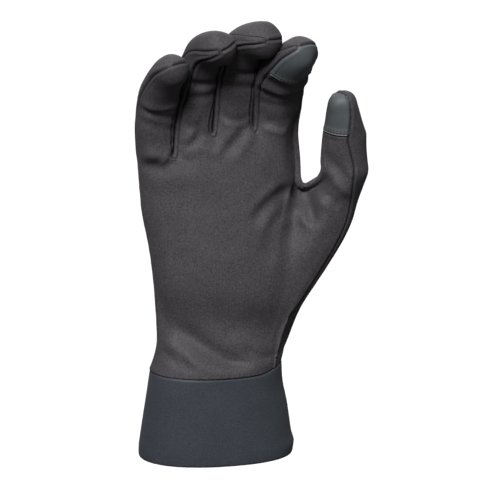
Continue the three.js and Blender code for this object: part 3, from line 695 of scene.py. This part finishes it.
def round_tips(surface, tags, quads):
    """Fingertips drawn to an even rounded surface fitted to their own shape."""
    top = TIP_POWER + 1
    powers = [(i, j, k) for k in (0, 1) for i in range(top) for j in range(top - i - k)]
    corner_area = np.linalg.norm(facing_of(surface, quads), axis=1) / 8
    area = np.bincount(quads.ravel(), np.repeat(corner_area, 4), len(surface))
    out = surface.copy()
    outward = np.zeros(surface.shape)
    for index, finger in enumerate(FINGERS):
        total = length_of(finger)
        to_tip = total - tags[:, ALONG]
        near = on_finger(tags, index) & (to_tip < TIP_REACH)
        centre, pad, side = finger_line(finger)(total - TIP_CENTRE)
        axes = unit(np.stack([side, pad, np.cross(pad, side)]))
        share = near * smooth((TIP_REACH - to_tip) / TIP_FADE)
        weight = np.sqrt(area[near])[:, None]

        def terms(facing):
            a, b, c = (facing @ axis for axis in axes)
            return np.stack([a ** i * b ** j * c ** k for i, j, k in powers], axis=1)

        away = surface - centre
        distance = np.linalg.norm(away, axis=1)
        facing = away / distance[:, None]
        shape = np.linalg.lstsq(terms(facing[near]) * weight, distance[near] * weight[:, 0], rcond=None)[0]
        facing = unit(evened(facing, quads, share, TIP_ROUNDS))
        reach = mix(distance[near], terms(facing[near]) @ shape, share[near])
        out[near] = centre + facing[near] * reach[:, None]
        outward[near] = facing[near] * share[near, None]
    return out, outward


def distance_from(points, quads, starts, reach=5.0, rounds=12):
    """Distance along the surface from the marked vertices, out to the reach."""
    edges, _, _ = edges_of(quads)
    links = np.vstack([edges, quads[:, [0, 2]], quads[:, [1, 3]]])
    lengths = np.linalg.norm(points[links[:, 0]] - points[links[:, 1]], axis=1)
    distance = np.full(len(points), reach)
    distance[starts] = 0.0
    for _ in range(rounds):
        np.minimum.at(distance, links[:, 1], distance[links[:, 0]] + lengths)
        np.minimum.at(distance, links[:, 0], distance[links[:, 1]] + lengths)
    return distance


def seam_vertices(quads, panels, one=None, other=None):
    """Vertices on the lines between two panels, or between any two."""
    edges, side_edge, count = edges_of(quads)
    flat_edge = side_edge.ravel()
    flat_panel = np.repeat(panels, 4)
    low = np.full(len(edges), len(PANELS))
    high = np.full(len(edges), -1)
    np.minimum.at(low, flat_edge, flat_panel)
    np.maximum.at(high, flat_edge, flat_panel)
    seam = low < high
    if one is not None:
        pair = sorted((PANELS.index(one), PANELS.index(other)))
        seam &= (low == pair[0]) & (high == pair[1])
    return np.unique(edges[seam])


def soft_noise(points, size, offset=0.0):
    """Smooth noise from -1 to 1 with features of the given size."""
    return np.array([noise.noise(Vector(p) / size + Vector((offset, offset, offset))) for p in points])


def hem_lift(points):
    """How far the wrist hem rises at the thumb's side."""
    return HEM_RISE * smooth((points[:, 0] - HEM_RISE_FROM) / HEM_RISE_REACH)


def seam_calm(surface, tags, quads, panels):
    """How strongly a seam shows at each vertex, from 0 to 1."""
    lengths = np.array([length_of(finger) for finger in FINGERS])
    number = tags[:, ON_FINGER]
    finger = np.clip(np.round(number), 0, len(FINGERS) - 1).astype(int)
    to_tip = np.where(number < OFF_FINGER / 2, FAR_FROM_TIP, lengths[finger] - tags[:, ALONG])
    on_strip = smooth((np.abs(tags[:, SINE]) - STRIP_SINE) * STRIP_FADE)
    at_tip = TIP_CALM * (1 - smooth(to_tip / TIP_CALM_REACH)) * on_strip
    curled = (number > CURLED_FROM) & (number < CURLED_TO)
    on_back = smooth(BACK_FADE * (BACK_SIDE - tags[:, COSINE]))
    faint = FAINT_SEAM * curled * on_back * smooth((FAINT_REACH - to_tip) / TIP_CALM_REACH)
    from_gusset = distance_from(surface, quads, seam_vertices(quads, panels, PALM, "thumb_gusset"))
    beside_gusset = smooth((GUSSET_CALM_REACH - from_gusset) / GUSSET_CALM_FADE) * (number < BEFORE_THUMB)
    return (1 - at_tip) * (1 - faint) * (1 - GUSSET_CALM * beside_gusset)


def hand_levels():
    """The levels of subdivision, and the finest surface with folds, seams and slight unevenness worked in."""
    cage = hand_cage()
    target, tags, quads, panels = map(np.array, (cage.points, cage.tags, cage.quads, cage.panels))
    points = target.copy()
    for _ in range(FIT_ROUNDS):
        points = points + target - limit(points, quads)
    levels = []
    for level in range(LEVELS + 1):
        edges = edges_of(quads)[0]
        codes = edges[:, 0] * len(points) + edges[:, 1]
        levels.append({"quads": quads, "panels": panels, "codes": codes, "size": len(points)})
        if level < LEVELS:
            points, tags, quads, panels = refine(points, tags, quads, panels)
    surface = limit(points, quads)
    from_knuckle = np.linalg.norm(surface - THUMB_KNUCKLE, axis=1)
    surface = evened(surface, quads, smooth((KNUCKLE_REACH - from_knuckle) / KNUCKLE_REACH), KNUCKLE_ROUNDS)
    surface, outward = round_tips(surface, tags, quads)
    normals = unit(normals_of(surface, quads) + TIP_OUTWARD * outward)
    height = fold_height(surface, normals, tags)
    for amount, size, shift in UNEVEN:
        height += amount * soft_noise(surface, size, shift)
    near_seam = distance_from(surface, quads, seam_vertices(quads, panels))
    calm = seam_calm(surface, tags, quads, panels)
    height -= calm * SEAM_DEPTH * bell(near_seam, SEAM_WIDTH)
    height += calm * SHOULDER * bell(near_seam - SHOULDER_AT, SHOULDER_WIDTH)
    height += calm * PUCKER * soft_noise(surface, PUCKER_SIZE, PUCKER_SHIFT) * bell(near_seam, PUCKER_WIDTH)
    for name in PATCH_FINGERS:
        from_hem = distance_from(surface, quads, seam_vertices(quads, panels, PALM, name))
        own = np.zeros(len(surface), bool)
        own[np.unique(quads[panels == PANELS.index(name)])] = True
        rise = PATCH_EDGE_RISE * bell(from_hem, PATCH_EDGE_WIDTH)
        height += np.where(own, rise, -KNIT_DIP * bell(from_hem, KNIT_DIP_WIDTH))
    surface = surface + normals * height[:, None]
    bottom = HAND_ROWS[0]["left_z"]
    surface[:, 2] += hem_lift(surface) * smooth((HEM_LIFT_HIGH - surface[:, 2]) / (HEM_LIFT_HIGH - bottom))
    # The last tag is the painted shade along the seams' grooves, faint where the seams are shallow.
    tags = np.column_stack([tags, calm * bell(near_seam, SEAM_SHADE_WIDTH)])
    return levels, surface, unit(normals_of(surface, quads) + TIP_OUTWARD * outward), tags


def add_object(name, data):
    made = bpy.data.objects.new(name, data)
    bpy.context.scene.collection.objects.link(made)
    return made


def make_object(name, points, faces, material, uv=None, shade=None):
    """A smooth mesh object from points in millimetres."""
    mesh = bpy.data.meshes.new(name)
    mesh.from_pydata((np.asarray(points) * MM).tolist(), [], faces)
    mesh.polygons.foreach_set("use_smooth", [True] * len(mesh.polygons))
    if uv is not None:
        layer = mesh.uv_layers.new(name="cloth")
        corner = np.zeros(len(mesh.loops), np.int64)
        mesh.loops.foreach_get("vertex_index", corner)
        layer.data.foreach_set("uv", (np.asarray(uv)[corner] * UV_SCALE).ravel())
    # The painted shade along the seams goes to the mesh as an attribute for its material.
    if shade is not None:
        layer = mesh.attributes.new("seam_painted_shade", "FLOAT", "POINT")
        layer.data.foreach_set("value", shade)
    mesh.materials.append(material)
    mesh.update()
    made = add_object(name, mesh)
    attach(made, "root")
    return made


def chain_between(levels, a, b, low, high):
    """The fine vertices along a coarse edge from a to b, both ends included."""
    chain = [a, b]
    for level in levels[low:high]:
        longer = [chain[0]]
        for one, two in zip(chain, chain[1:]):
            key = min(one, two) * level["size"] + max(one, two)
            longer += [level["size"] + int(np.searchsorted(level["codes"], key)), two]
        chain = longer
    return chain


def panel_object(name, levels, surface, normals, tags, material):
    """A closed piece of cloth: a fine outer sheet, a coarser inner one and the walls between them."""
    index = PANELS.index(name)
    fine = levels[LEVELS]
    coarse = levels[INNER_LEVEL]
    outer = fine["quads"][fine["panels"] == index]
    inner = coarse["quads"][coarse["panels"] == index]

    points = surface.copy()
    rim = rim_sides(outer)
    tangent = unit(surface[rim[:, 1]] - surface[rim[:, 0]])
    inward = np.cross(unit(normals[rim[:, 0]] + normals[rim[:, 1]]), tangent)
    pull = summed(len(surface), rim.T.ravel(), np.vstack([inward, inward]))
    at_rim = np.unique(rim)
    points[at_rim] += unit(pull[at_rim]) * SEAM_DRAW

    outer_used = np.unique(outer)
    inner_used = np.unique(inner)
    outer_place = np.full(len(surface), -1)
    outer_place[outer_used] = np.arange(len(outer_used))
    inner_place = np.full(len(surface), -1)
    inner_place[inner_used] = len(outer_used) + np.arange(len(inner_used))
    inside = points[inner_used] - normals[inner_used] * CLOTH
    faces = outer_place[outer].tolist() + inner_place[inner][:, ::-1].tolist()
    for a, b in rim_sides(inner).tolist():
        chain = [int(outer_place[k]) for k in chain_between(levels, a, b, INNER_LEVEL, LEVELS)]
        low, high = int(inner_place[a]), int(inner_place[b])
        half = len(chain) // 2
        for k in range(len(chain) - 1):
            faces.append([chain[k + 1], chain[k], low if k < half else high])
            if k == half - 1:
                faces.append([chain[half], low, high])
    own = tags[np.concatenate([outer_used, inner_used])]
    all_points = np.vstack([points[outer_used], inside])
    return make_object(name + "_cloth", all_points, faces, material, own[:, FLAT_X:PAINTED_SHADE], own[:, PAINTED_SHADE])


def line_along(surface, normals, tags, quads, finger, s):
    """Points and normals where the surface crosses a given distance along a finger, from left to right."""
    edges = edges_of(quads)[0]
    a, b = edges[:, 0], edges[:, 1]
    near = on_finger(tags, finger)
    crossing = near[a] & near[b] & ((tags[a, ALONG] - s) * (tags[b, ALONG] - s) < 0)
    a, b = a[crossing], b[crossing]
    t = ((s - tags[a, ALONG]) / (tags[b, ALONG] - tags[a, ALONG]))[:, None]
    place = mix(surface[a], surface[b], t)
    normal = unit(mix(normals[a], normals[b], t))
    turned = mix(tags[a], tags[b], t)
    order = np.argsort(np.arctan2(turned[:, SINE], turned[:, COSINE]))
    return place[order], normal[order]


def even_stations(place, pitch):
    """Distances along a polyline at an even pitch, and a function that interpolates rows along it."""
    steps = np.linalg.norm(np.diff(place, axis=0), axis=1)
    length = np.concatenate([[0], np.cumsum(steps)])
    count = max(2, int(length[-1] / pitch))
    stations = (np.arange(count) + 0.5) * length[-1] / count

    def at(s, rows):
        return np.array([np.interp(s, length, rows[:, k]) for k in range(rows.shape[1])])

    return stations, at


def thread_ring(middle, across, up, radius):
    """Points round a thread."""
    angles = [2 * math.pi * j / THREAD_SIDES for j in range(THREAD_SIDES)]
    return [middle + (across * math.cos(angle) + up * math.sin(angle)) * radius for angle in angles]


def add_tube(rings, points, faces):
    """Adds a closed tube through the rings."""
    rows = []
    for ring in rings:
        rows.append(list(range(len(points), len(points) + THREAD_SIDES)))
        points.extend(ring)
    for low, high in zip(rows, rows[1:]):
        for j in range(THREAD_SIDES):
            m = (j + 1) % THREAD_SIDES
            faces.append([low[j], low[m], high[m], high[j]])
    faces.append(rows[0][::-1])
    faces.append(rows[-1])


def stitch_row(place, normal, pitch, length, radius, rise, points, faces):
    """Adds short threads that dip into the cloth at both ends."""
    stations, at = even_stations(place, pitch)
    for s in stations:
        start = at(s - length / 2, place)
        end = at(s + length / 2, place)
        up = unit(at(s, normal))
        across = np.cross(up, unit(end - start))
        rings = []
        for t in np.linspace(0, 1, STITCH_RINGS):
            lift = rise * math.sin(math.pi * t) - radius * STITCH_SINK
            taper = math.sin(math.pi * min(max(t, STITCH_TIP), 1 - STITCH_TIP)) ** 0.5
            size = radius * mix(STITCH_END, 1, taper)
            rings.append(thread_ring(mix(start, end, t) + up * lift, across, up, size))
        add_tube(rings, points, faces)


def rolled_edge(place, normal, points, faces):
    """Adds a thin closed roll that follows a line on the cloth."""
    rings = []
    for k in range(len(place)):
        along = unit(place[min(k + 1, len(place) - 1)] - place[max(k - 1, 0)])
        middle = place[k] + normal[k] * (HEM_EDGE_RISE * HEM_EDGE_RADIUS)
        rings.append(thread_ring(middle, np.cross(normal[k], along), normal[k], HEM_EDGE_RADIUS))
    add_tube(rings, points, faces)


# Materials
UV_SCALE = 0.1  # the cloth's flat coordinates are in centimetres
WAVE_BANDS = 20  # the wave texture's own factor
GRAIN_STOPS = (0.34, 0.68)
BLOTCH_SCALE = 55.0
ROUGH_SPREAD = 0.08
SHEEN_ROUGHNESS = 0.45


def set_values(node, values):
    for key, value in values.items():
        node.inputs[key].default_value = value


def add_node(tree, kind, values, **settings):
    """A shader node with the values of its sockets and its settings."""
    made = tree.nodes.new(kind)
    for key, value in settings.items():
        setattr(made, key, value)
    set_values(made, values)
    return made


def ramp(tree, factor, stops):
    """Colours between the stops, which are pairs of a place and a colour or a grey."""
    made = tree.nodes.new("ShaderNodeValToRGB")
    for element, (place, colour) in zip(made.color_ramp.elements, stops):
        element.position = place
        element.color = (*colour, 1) if isinstance(colour, tuple) else (colour, colour, colour, 1)
    tree.links.new(factor, made.inputs["Fac"])
    return made.outputs["Color"]


def noise_node(tree, coordinates, scale, detail=2.0, roughness=0.5):
    made = add_node(tree, "ShaderNodeTexNoise", {"Scale": scale, "Detail": detail, "Roughness": roughness})
    tree.links.new(coordinates, made.inputs["Vector"])
    return made.outputs["Fac"]


def multiply(tree, one, two):
    made = add_node(tree, "ShaderNodeMix", {0: 1.0}, data_type="RGBA", blend_type="MULTIPLY")
    tree.links.new(one, made.inputs[6])
    tree.links.new(two, made.inputs[7])
    return made.outputs[2]


def relief(tree, height, depth, under=None):
    """A bump of this depth in millimetres, on top of another one if that is given."""
    made = add_node(tree, "ShaderNodeBump", {"Strength": 1.0, "Distance": depth * MM})
    tree.links.new(height, made.inputs["Height"])
    if under is not None:
        tree.links.new(under, made.inputs["Normal"])
    return made.outputs["Normal"]


def cloth_material(name, dark, light, grain, roughness, specular, sheen, bumps, blotch, wales, seams):
    """A cloth with fine grain in its colour, roughness and relief. Bumps are (scale, depth in mm), wales are
    (pitch in mm, depth in mm, tint)."""
    made = bpy.data.materials.new(name)
    made.use_nodes = True
    tree = made.node_tree
    link = tree.links.new
    shader = tree.nodes["Principled BSDF"]
    place = tree.nodes.new("ShaderNodeTexCoord")
    fine = noise_node(tree, place.outputs["Object"], grain, 3.0, 0.6)
    wide = noise_node(tree, place.outputs["Object"], BLOTCH_SCALE, 3.0)
    colour = ramp(tree, fine, zip(GRAIN_STOPS, (dark, light)))
    colour = multiply(tree, colour, ramp(tree, wide, ((0.3, 1 - blotch), (0.7, 1 + blotch))))
    # Painted shade: the colour is darkened along the seams' grooves, as the attribute says.
    if seams:
        line = add_node(tree, "ShaderNodeAttribute", {}, attribute_name="seam_painted_shade")
        colour = multiply(tree, colour, ramp(tree, line.outputs["Fac"], ((0, 1.0), (1, 1 - SEAM_SHADE_DARKNESS))))
    height = None
    for scale, depth in bumps:
        bumpy = noise_node(tree, place.outputs["Object"], scale, 2.0, 0.55)
        height = relief(tree, bumpy, depth, height)
    if wales:
        pitch, depth, tint = wales
        wave = add_node(tree, "ShaderNodeTexWave", {
            "Scale": 2 * math.pi / (WAVE_BANDS * UV_SCALE * pitch),
            "Distortion": 0.6, "Detail": 2.0, "Detail Scale": 3.0,
        }, wave_type="BANDS", bands_direction="X")
        link(place.outputs["UV"], wave.inputs["Vector"])
        height = relief(tree, wave.outputs["Fac"], depth, height)
        colour = multiply(tree, colour, ramp(tree, wave.outputs["Fac"], ((0.1, 1 - tint), (0.7, 1.0))))
    link(height, shader.inputs["Normal"])
    link(colour, shader.inputs["Base Color"])
    rough = add_node(tree, "ShaderNodeMapRange", {
        "To Min": roughness - ROUGH_SPREAD, "To Max": roughness + ROUGH_SPREAD,
    })
    link(fine, rough.inputs["Value"])
    link(rough.outputs["Result"], shader.inputs["Roughness"])
    set_values(shader, {
        "Specular IOR Level": specular, "Sheen Weight": sheen, "Sheen Roughness": SHEEN_ROUGHNESS,
    })
    return made


KNIT_TONES = ((0.033, 0.029, 0.032), (0.075, 0.069, 0.076))
WALES = (1.8, 0.02, 0.03)
# The last column says whether a cloth gets the painted shade along its seams.
CLOTHS = table("name dark light grain roughness specular sheen bumps blotch wales seams", [
    ("knit_cloth", *KNIT_TONES, 1300, 0.64, 0.24, 0.04, ((1500, 0.08), (300, 0.1)), 0.1, WALES, True),
    ("gusset_cloth", *KNIT_TONES, 1300, 0.66, 0.24, 0.04, ((1500, 0.08),), 0.1, WALES, True),
    ("patch_cloth", (0.064, 0.072, 0.077), (0.088, 0.098, 0.104),
     2600, 0.55, 0.35, 0, ((2600, 0.02),), 0.06, None, False),
    ("cuff_smooth_cloth", (0.028, 0.033, 0.041), (0.049, 0.055, 0.067),
     1500, 0.6, 0.3, 0.03, ((1500, 0.06), (300, 0.06)), 0.08, None, False),
    ("patch_edge", (0.105, 0.11, 0.11), (0.17, 0.178, 0.178),
     2600, 0.6, 0.4, 0, ((2600, 0.02),), 0.06, None, False),
    ("pale_thread", (0.045, 0.042, 0.044), (0.1, 0.094, 0.098),
     3000, 0.6, 0.3, 0, ((4000, 0.03),), 0.1, None, False),
    ("thread", (0.012, 0.012, 0.013), (0.03, 0.029, 0.031),
     4000, 0.7, 0.2, 0, ((4000, 0.03),), 0.1, None, False),
])
cloths = {row["name"]: cloth_material(**row) for row in CLOTHS}

# The hand's panels
levels, surface, normals, tags = hand_levels()
fine_quads = levels[LEVELS]["quads"]
fine_panels = levels[LEVELS]["panels"]
for name in PANELS:
    cloth = "patch_cloth" if name in PATCH_FINGERS else "knit_cloth"
    if name.startswith("fourchette") or name == "thumb_gusset":
        cloth = "gusset_cloth"
    piece = panel_object(name, levels, surface, normals, tags, cloths[cloth])
    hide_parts(name)


def patch_line(name, above):
    """Points and normals on a touch patch along a line at this height above its hem."""
    own = fine_quads[fine_panels == PANELS.index(name)]
    number = PATCH_FINGERS[name]
    hem_at = length_of(FINGERS[number]) - FINGERS[number]["hem"]
    return line_along(surface, normals, tags, own, number, hem_at + above)


# Double rows of stitches on the hems of the touch patches
for name in PATCH_FINGERS:
    points, faces = [], []
    for above in STITCHES_ABOVE:
        place, normal = patch_line(name, above)
        stitch_row(place, normal, points=points, faces=faces, **PATCH_STITCH)
    piece = make_object(name + "_stitches", points, faces, cloths["thread"])

# A rolled edge along the hem of each touch patch
for name in PATCH_FINGERS:
    place, normal = patch_line(name, HEM_EDGE_ABOVE)
    stations, at = even_stations(place, HEM_EDGE_STEP)
    stations = stations[HEM_EDGE_TRIM:-HEM_EDGE_TRIM]
    place = np.array([at(s, place) for s in stations])
    normal = unit(np.array([at(s, normal) for s in stations]))
    points, faces = [], []
    rolled_edge(place, normal, points, faces)
    piece = make_object(name + "_hem_edge", points, faces, cloths["patch_edge"])

# Stitches round the foot of the slit between the middle and index fingers
surface_tree = BVHTree.FromPolygons([tuple(p) for p in surface], fine_quads.tolist())
place, normal = [], []
for angle in np.radians(np.linspace(180, 360, SLIT_STEPS)):
    x = CROTCHES[3][0] + SLIT_RADIUS * math.cos(angle)
    z = CROTCHES[3][1] + SLIT_RISE + SLIT_RADIUS * math.sin(angle)
    found, facing, _, _ = surface_tree.ray_cast(Vector((x, FRONT_OF_ALL, z)), Vector((0, 1, 0)))
    if found:
        place.append(np.array(found))
        normal.append(np.array(facing))
points, faces = [], []
stitch_row(np.array(place), np.array(normal), points=points, faces=faces, **SLIT_STITCH)
piece = make_object("slit_stitches", points, faces, cloths["pale_thread"])

# The cuff follows the hem's own rounded section
CUFF_ROWS = table("z width depth inner_width inner_depth", [
    (0, 43.2, 28.4, 43.2, 28.4),
    (6, 43, 28.2, 42.9, 28.1),
    (49.2, 36.9, 25.4, 36.7, 25.2),
    (49.7, 35.8, 24.3, 36.5, 25),
    (52.6, 34.7, 23.6, 34.7, 23.6),
])
CUFF_COUNT = 224  # vertices round the cuff, and rows up its outside and its inside
CUFF_OUTER_ROWS = 58
CUFF_INNER_ROWS = 16
CUFF_CLOTH = 1.8
CUFF_STRETCH = 2.4
CUFF_EDGE = 0.35  # its lower edge is rounded off
CUFF_EDGE_REACH = 0.5
CUFF_UNEVEN = 0.22
CUFF_UNEVEN_SIZE = 26.0
CUFF_UNEVEN_SHIFT = 5.0
CUFF_UNEVEN_FADE = 8
CUFF_SPREAD = (43, 28)
CUFF_FLAT_RADIUS = 36
RIM_LEFT_POINT = 0.3
RIM_RIGHT_POINT = -0.1
RIM_LEFT_REACH = 0.026
KICK = 0.9  # at the thumb's side it swells a little near the rim
KICK_AT = 6
KICK_WIDTH = 4
KICK_SIDE = 1.2
WAIST = 0.9  # and draws in a little near the hem
WAIST_AT = 40
WAIST_WIDTH = 7


def cuff_loop(angles, z, width, depth, shaped):
    """One closed row of the cuff. The rim lies flatter and closer to a point at both ends."""
    lower = shaped * float(smooth((CUFF_ROWS[2]["z"] - z) / CUFF_ROWS[2]["z"]))
    c, q = np.cos(angles), np.sin(angles)
    left = smooth(0.5 - 2 * c)
    radius = section_radius(c, q, CUFF_STRETCH - lower * mix(RIM_RIGHT_POINT, RIM_LEFT_POINT, left))
    x = c * radius * width * (1 + RIM_LEFT_REACH * lower * left)
    kick = KICK * bell(z - KICK_AT, KICK_WIDTH) - WAIST * bell(z - WAIST_AT, WAIST_WIDTH)
    x = x + smooth(c * KICK_SIDE) * kick * shaped
    return np.stack([x, q * radius * depth, np.full(len(x), float(z))], axis=1)


def cuff_size(z, *names):
    """Sizes of the cuff at a height, between the rows of its table."""
    heights = [row["z"] for row in CUFF_ROWS]
    return [np.interp(z, heights, [row[name] for row in CUFF_ROWS]) for name in names]


def make_cuff():
    angles = np.linspace(-math.pi, math.pi, CUFF_COUNT, endpoint=False)
    shoulder = CUFF_ROWS[2]["z"]
    loops = []
    for k in range(CUFF_OUTER_ROWS + 1):
        z = shoulder * k / CUFF_OUTER_ROWS
        width, depth = cuff_size(z, "width", "depth")
        edge = CUFF_EDGE * math.exp(-z / CUFF_EDGE_REACH)
        loops.append(cuff_loop(angles, z, width - edge, depth - edge, 1.0))
    for row in CUFF_ROWS[3:]:
        loops.append(cuff_loop(angles, row["z"], row["width"], row["depth"], 0.0))
    for z in np.linspace(CUFF_ROWS[-1]["z"], 0.0, CUFF_INNER_ROWS):
        width, depth = cuff_size(z, "inner_width", "inner_depth")
        shaped = 1.0 if z < shoulder else 0.0
        loops.append(cuff_loop(angles, z, width - CUFF_CLOTH, depth - CUFF_CLOTH, shaped))
    points = np.vstack(loops)
    uneven = CUFF_UNEVEN * soft_noise(points, CUFF_UNEVEN_SIZE, CUFF_UNEVEN_SHIFT)
    spread = unit(np.column_stack([points[:, :2] / CUFF_SPREAD, np.zeros(len(points))]))
    points += spread * (uneven * smooth((shoulder - points[:, 2]) / CUFF_UNEVEN_FADE))[:, None]
    points[:, 2] += hem_lift(points) * smooth((points[:, 2] - HEM_LIFT_LOW) / (shoulder - HEM_LIFT_LOW))
    faces = []
    for r in range(len(loops)):
        low = r * CUFF_COUNT
        high = ((r + 1) % len(loops)) * CUFF_COUNT
        for k in range(CUFF_COUNT):
            m = (k + 1) % CUFF_COUNT
            faces.append([low + k, low + m, high + m, high + k])
    uv = np.stack([np.tile(angles * CUFF_FLAT_RADIUS, len(loops)), points[:, 2]], axis=1)
    return make_object("cuff_cloth_tube", points, faces, cloths["cuff_smooth_cloth"], uv)


piece = make_cuff()
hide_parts("cuff")

# Floor and white background
FLOOR_HALF = 12.0
FLOOR_Z = -0.42
floor = add_object("floor", bpy.data.meshes.new("floor"))
corners = [(FLOOR_HALF * x, FLOOR_HALF * y, FLOOR_Z) for x, y in ((-1, -1), (1, -1), (1, 1), (-1, 1))]
floor.data.from_pydata(corners, [], [(0, 1, 2, 3)])
pale = bpy.data.materials.new("pale_floor")
pale.use_nodes = True
pale_tree = pale.node_tree
pale_shader = pale_tree.nodes["Principled BSDF"]
pale_place = pale_tree.nodes.new("ShaderNodeTexCoord")
pale_noise = noise_node(pale_tree, pale_place.outputs["Object"], 3.0)
pale_colour = ramp(pale_tree, pale_noise, ((0.2, 0.9), (0.8, 0.93)))
pale_tree.links.new(pale_colour, pale_shader.inputs["Base Color"])
set_values(pale_shader, {"Roughness": 0.9, "Specular IOR Level": 0.0})
floor.data.materials.append(pale)
floor.visible_diffuse = False
floor.visible_glossy = False

WHITE = (1, 1, 1, 1)
world = bpy.data.worlds.new("studio")
world.use_nodes = True
bpy.context.scene.world = world
world_tree = world.node_tree
background = world_tree.nodes["Background"]
set_values(background, {"Color": WHITE, "Strength": 0.08})
seen = add_node(world_tree, "ShaderNodeBackground", {"Color": WHITE, "Strength": 1.0})
path = world_tree.nodes.new("ShaderNodeLightPath")
choice = world_tree.nodes.new("ShaderNodeMixShader")
link = world_tree.links.new
link(path.outputs["Is Camera Ray"], choice.inputs["Fac"])
link(background.outputs["Background"], choice.inputs[1])
link(seen.outputs["Background"], choice.inputs[2])
link(choice.outputs["Shader"], world_tree.nodes["World Output"].inputs["Surface"])


def direction(azimuth, elevation):
    """From the glove towards a light or the camera, in degrees. Azimuth 0 is the palm's side, -Y."""
    a, e = math.radians(azimuth), math.radians(elevation)
    return Vector((math.sin(a) * math.cos(e), -math.cos(a) * math.cos(e), math.sin(e)))


def aim(name, data, back, location):
    """A light or camera at the location that looks back against this direction."""
    made = add_object(name, data)
    made.rotation_mode = "QUATERNION"
    made.rotation_quaternion = back.to_track_quat("Z", "Y")
    made.location = location
    return made


def sun(name, azimuth, elevation, strength, spread):
    """A soft distant light."""
    data = bpy.data.lights.new(name, "SUN")
    data.energy = strength
    data.angle = math.radians(spread)
    back = direction(azimuth, elevation)
    aim(name, data, back, back * 2)


sun("key", -26, 46, 3.2, 26)

# A soft spot light on the palm, brightest at its middle
SPOT_TARGET = Vector((4, -18, 144)) * MM
SPOT_DISTANCE = 620 * MM
SPOT_HALF_ANGLE = 14
spot_data = bpy.data.lights.new("palm_light", "SPOT")
spot_data.energy = 10.0
spot_data.spot_size = 2 * math.radians(SPOT_HALF_ANGLE)
spot_data.spot_blend = 1.0
spot_data.shadow_soft_size = 0.12
spot_back = direction(-26, 40)
aim("palm_light", spot_data, spot_back, SPOT_TARGET + spot_back * SPOT_DISTANCE)

sun("fill", 50, 25, 0.2, 90)
sun("back_fill", 170, 45, 1.6, 70)

# The photo's view
TARGET = Vector((19.2, 0, 116)) * MM
DISTANCE = 1200 * MM
FOCAL = 2166 / 499
SENSOR = 36
camera_data = bpy.data.cameras.new("camera")
camera_data.sensor_width = SENSOR
camera_data.sensor_fit = "HORIZONTAL"
camera_data.lens = SENSOR * FOCAL
camera_back = direction(-12, 14)
bpy.context.scene.camera = aim("camera", camera_data, camera_back, TARGET + camera_back * DISTANCE)
bpy.context.scene.view_settings.view_transform = "Standard"
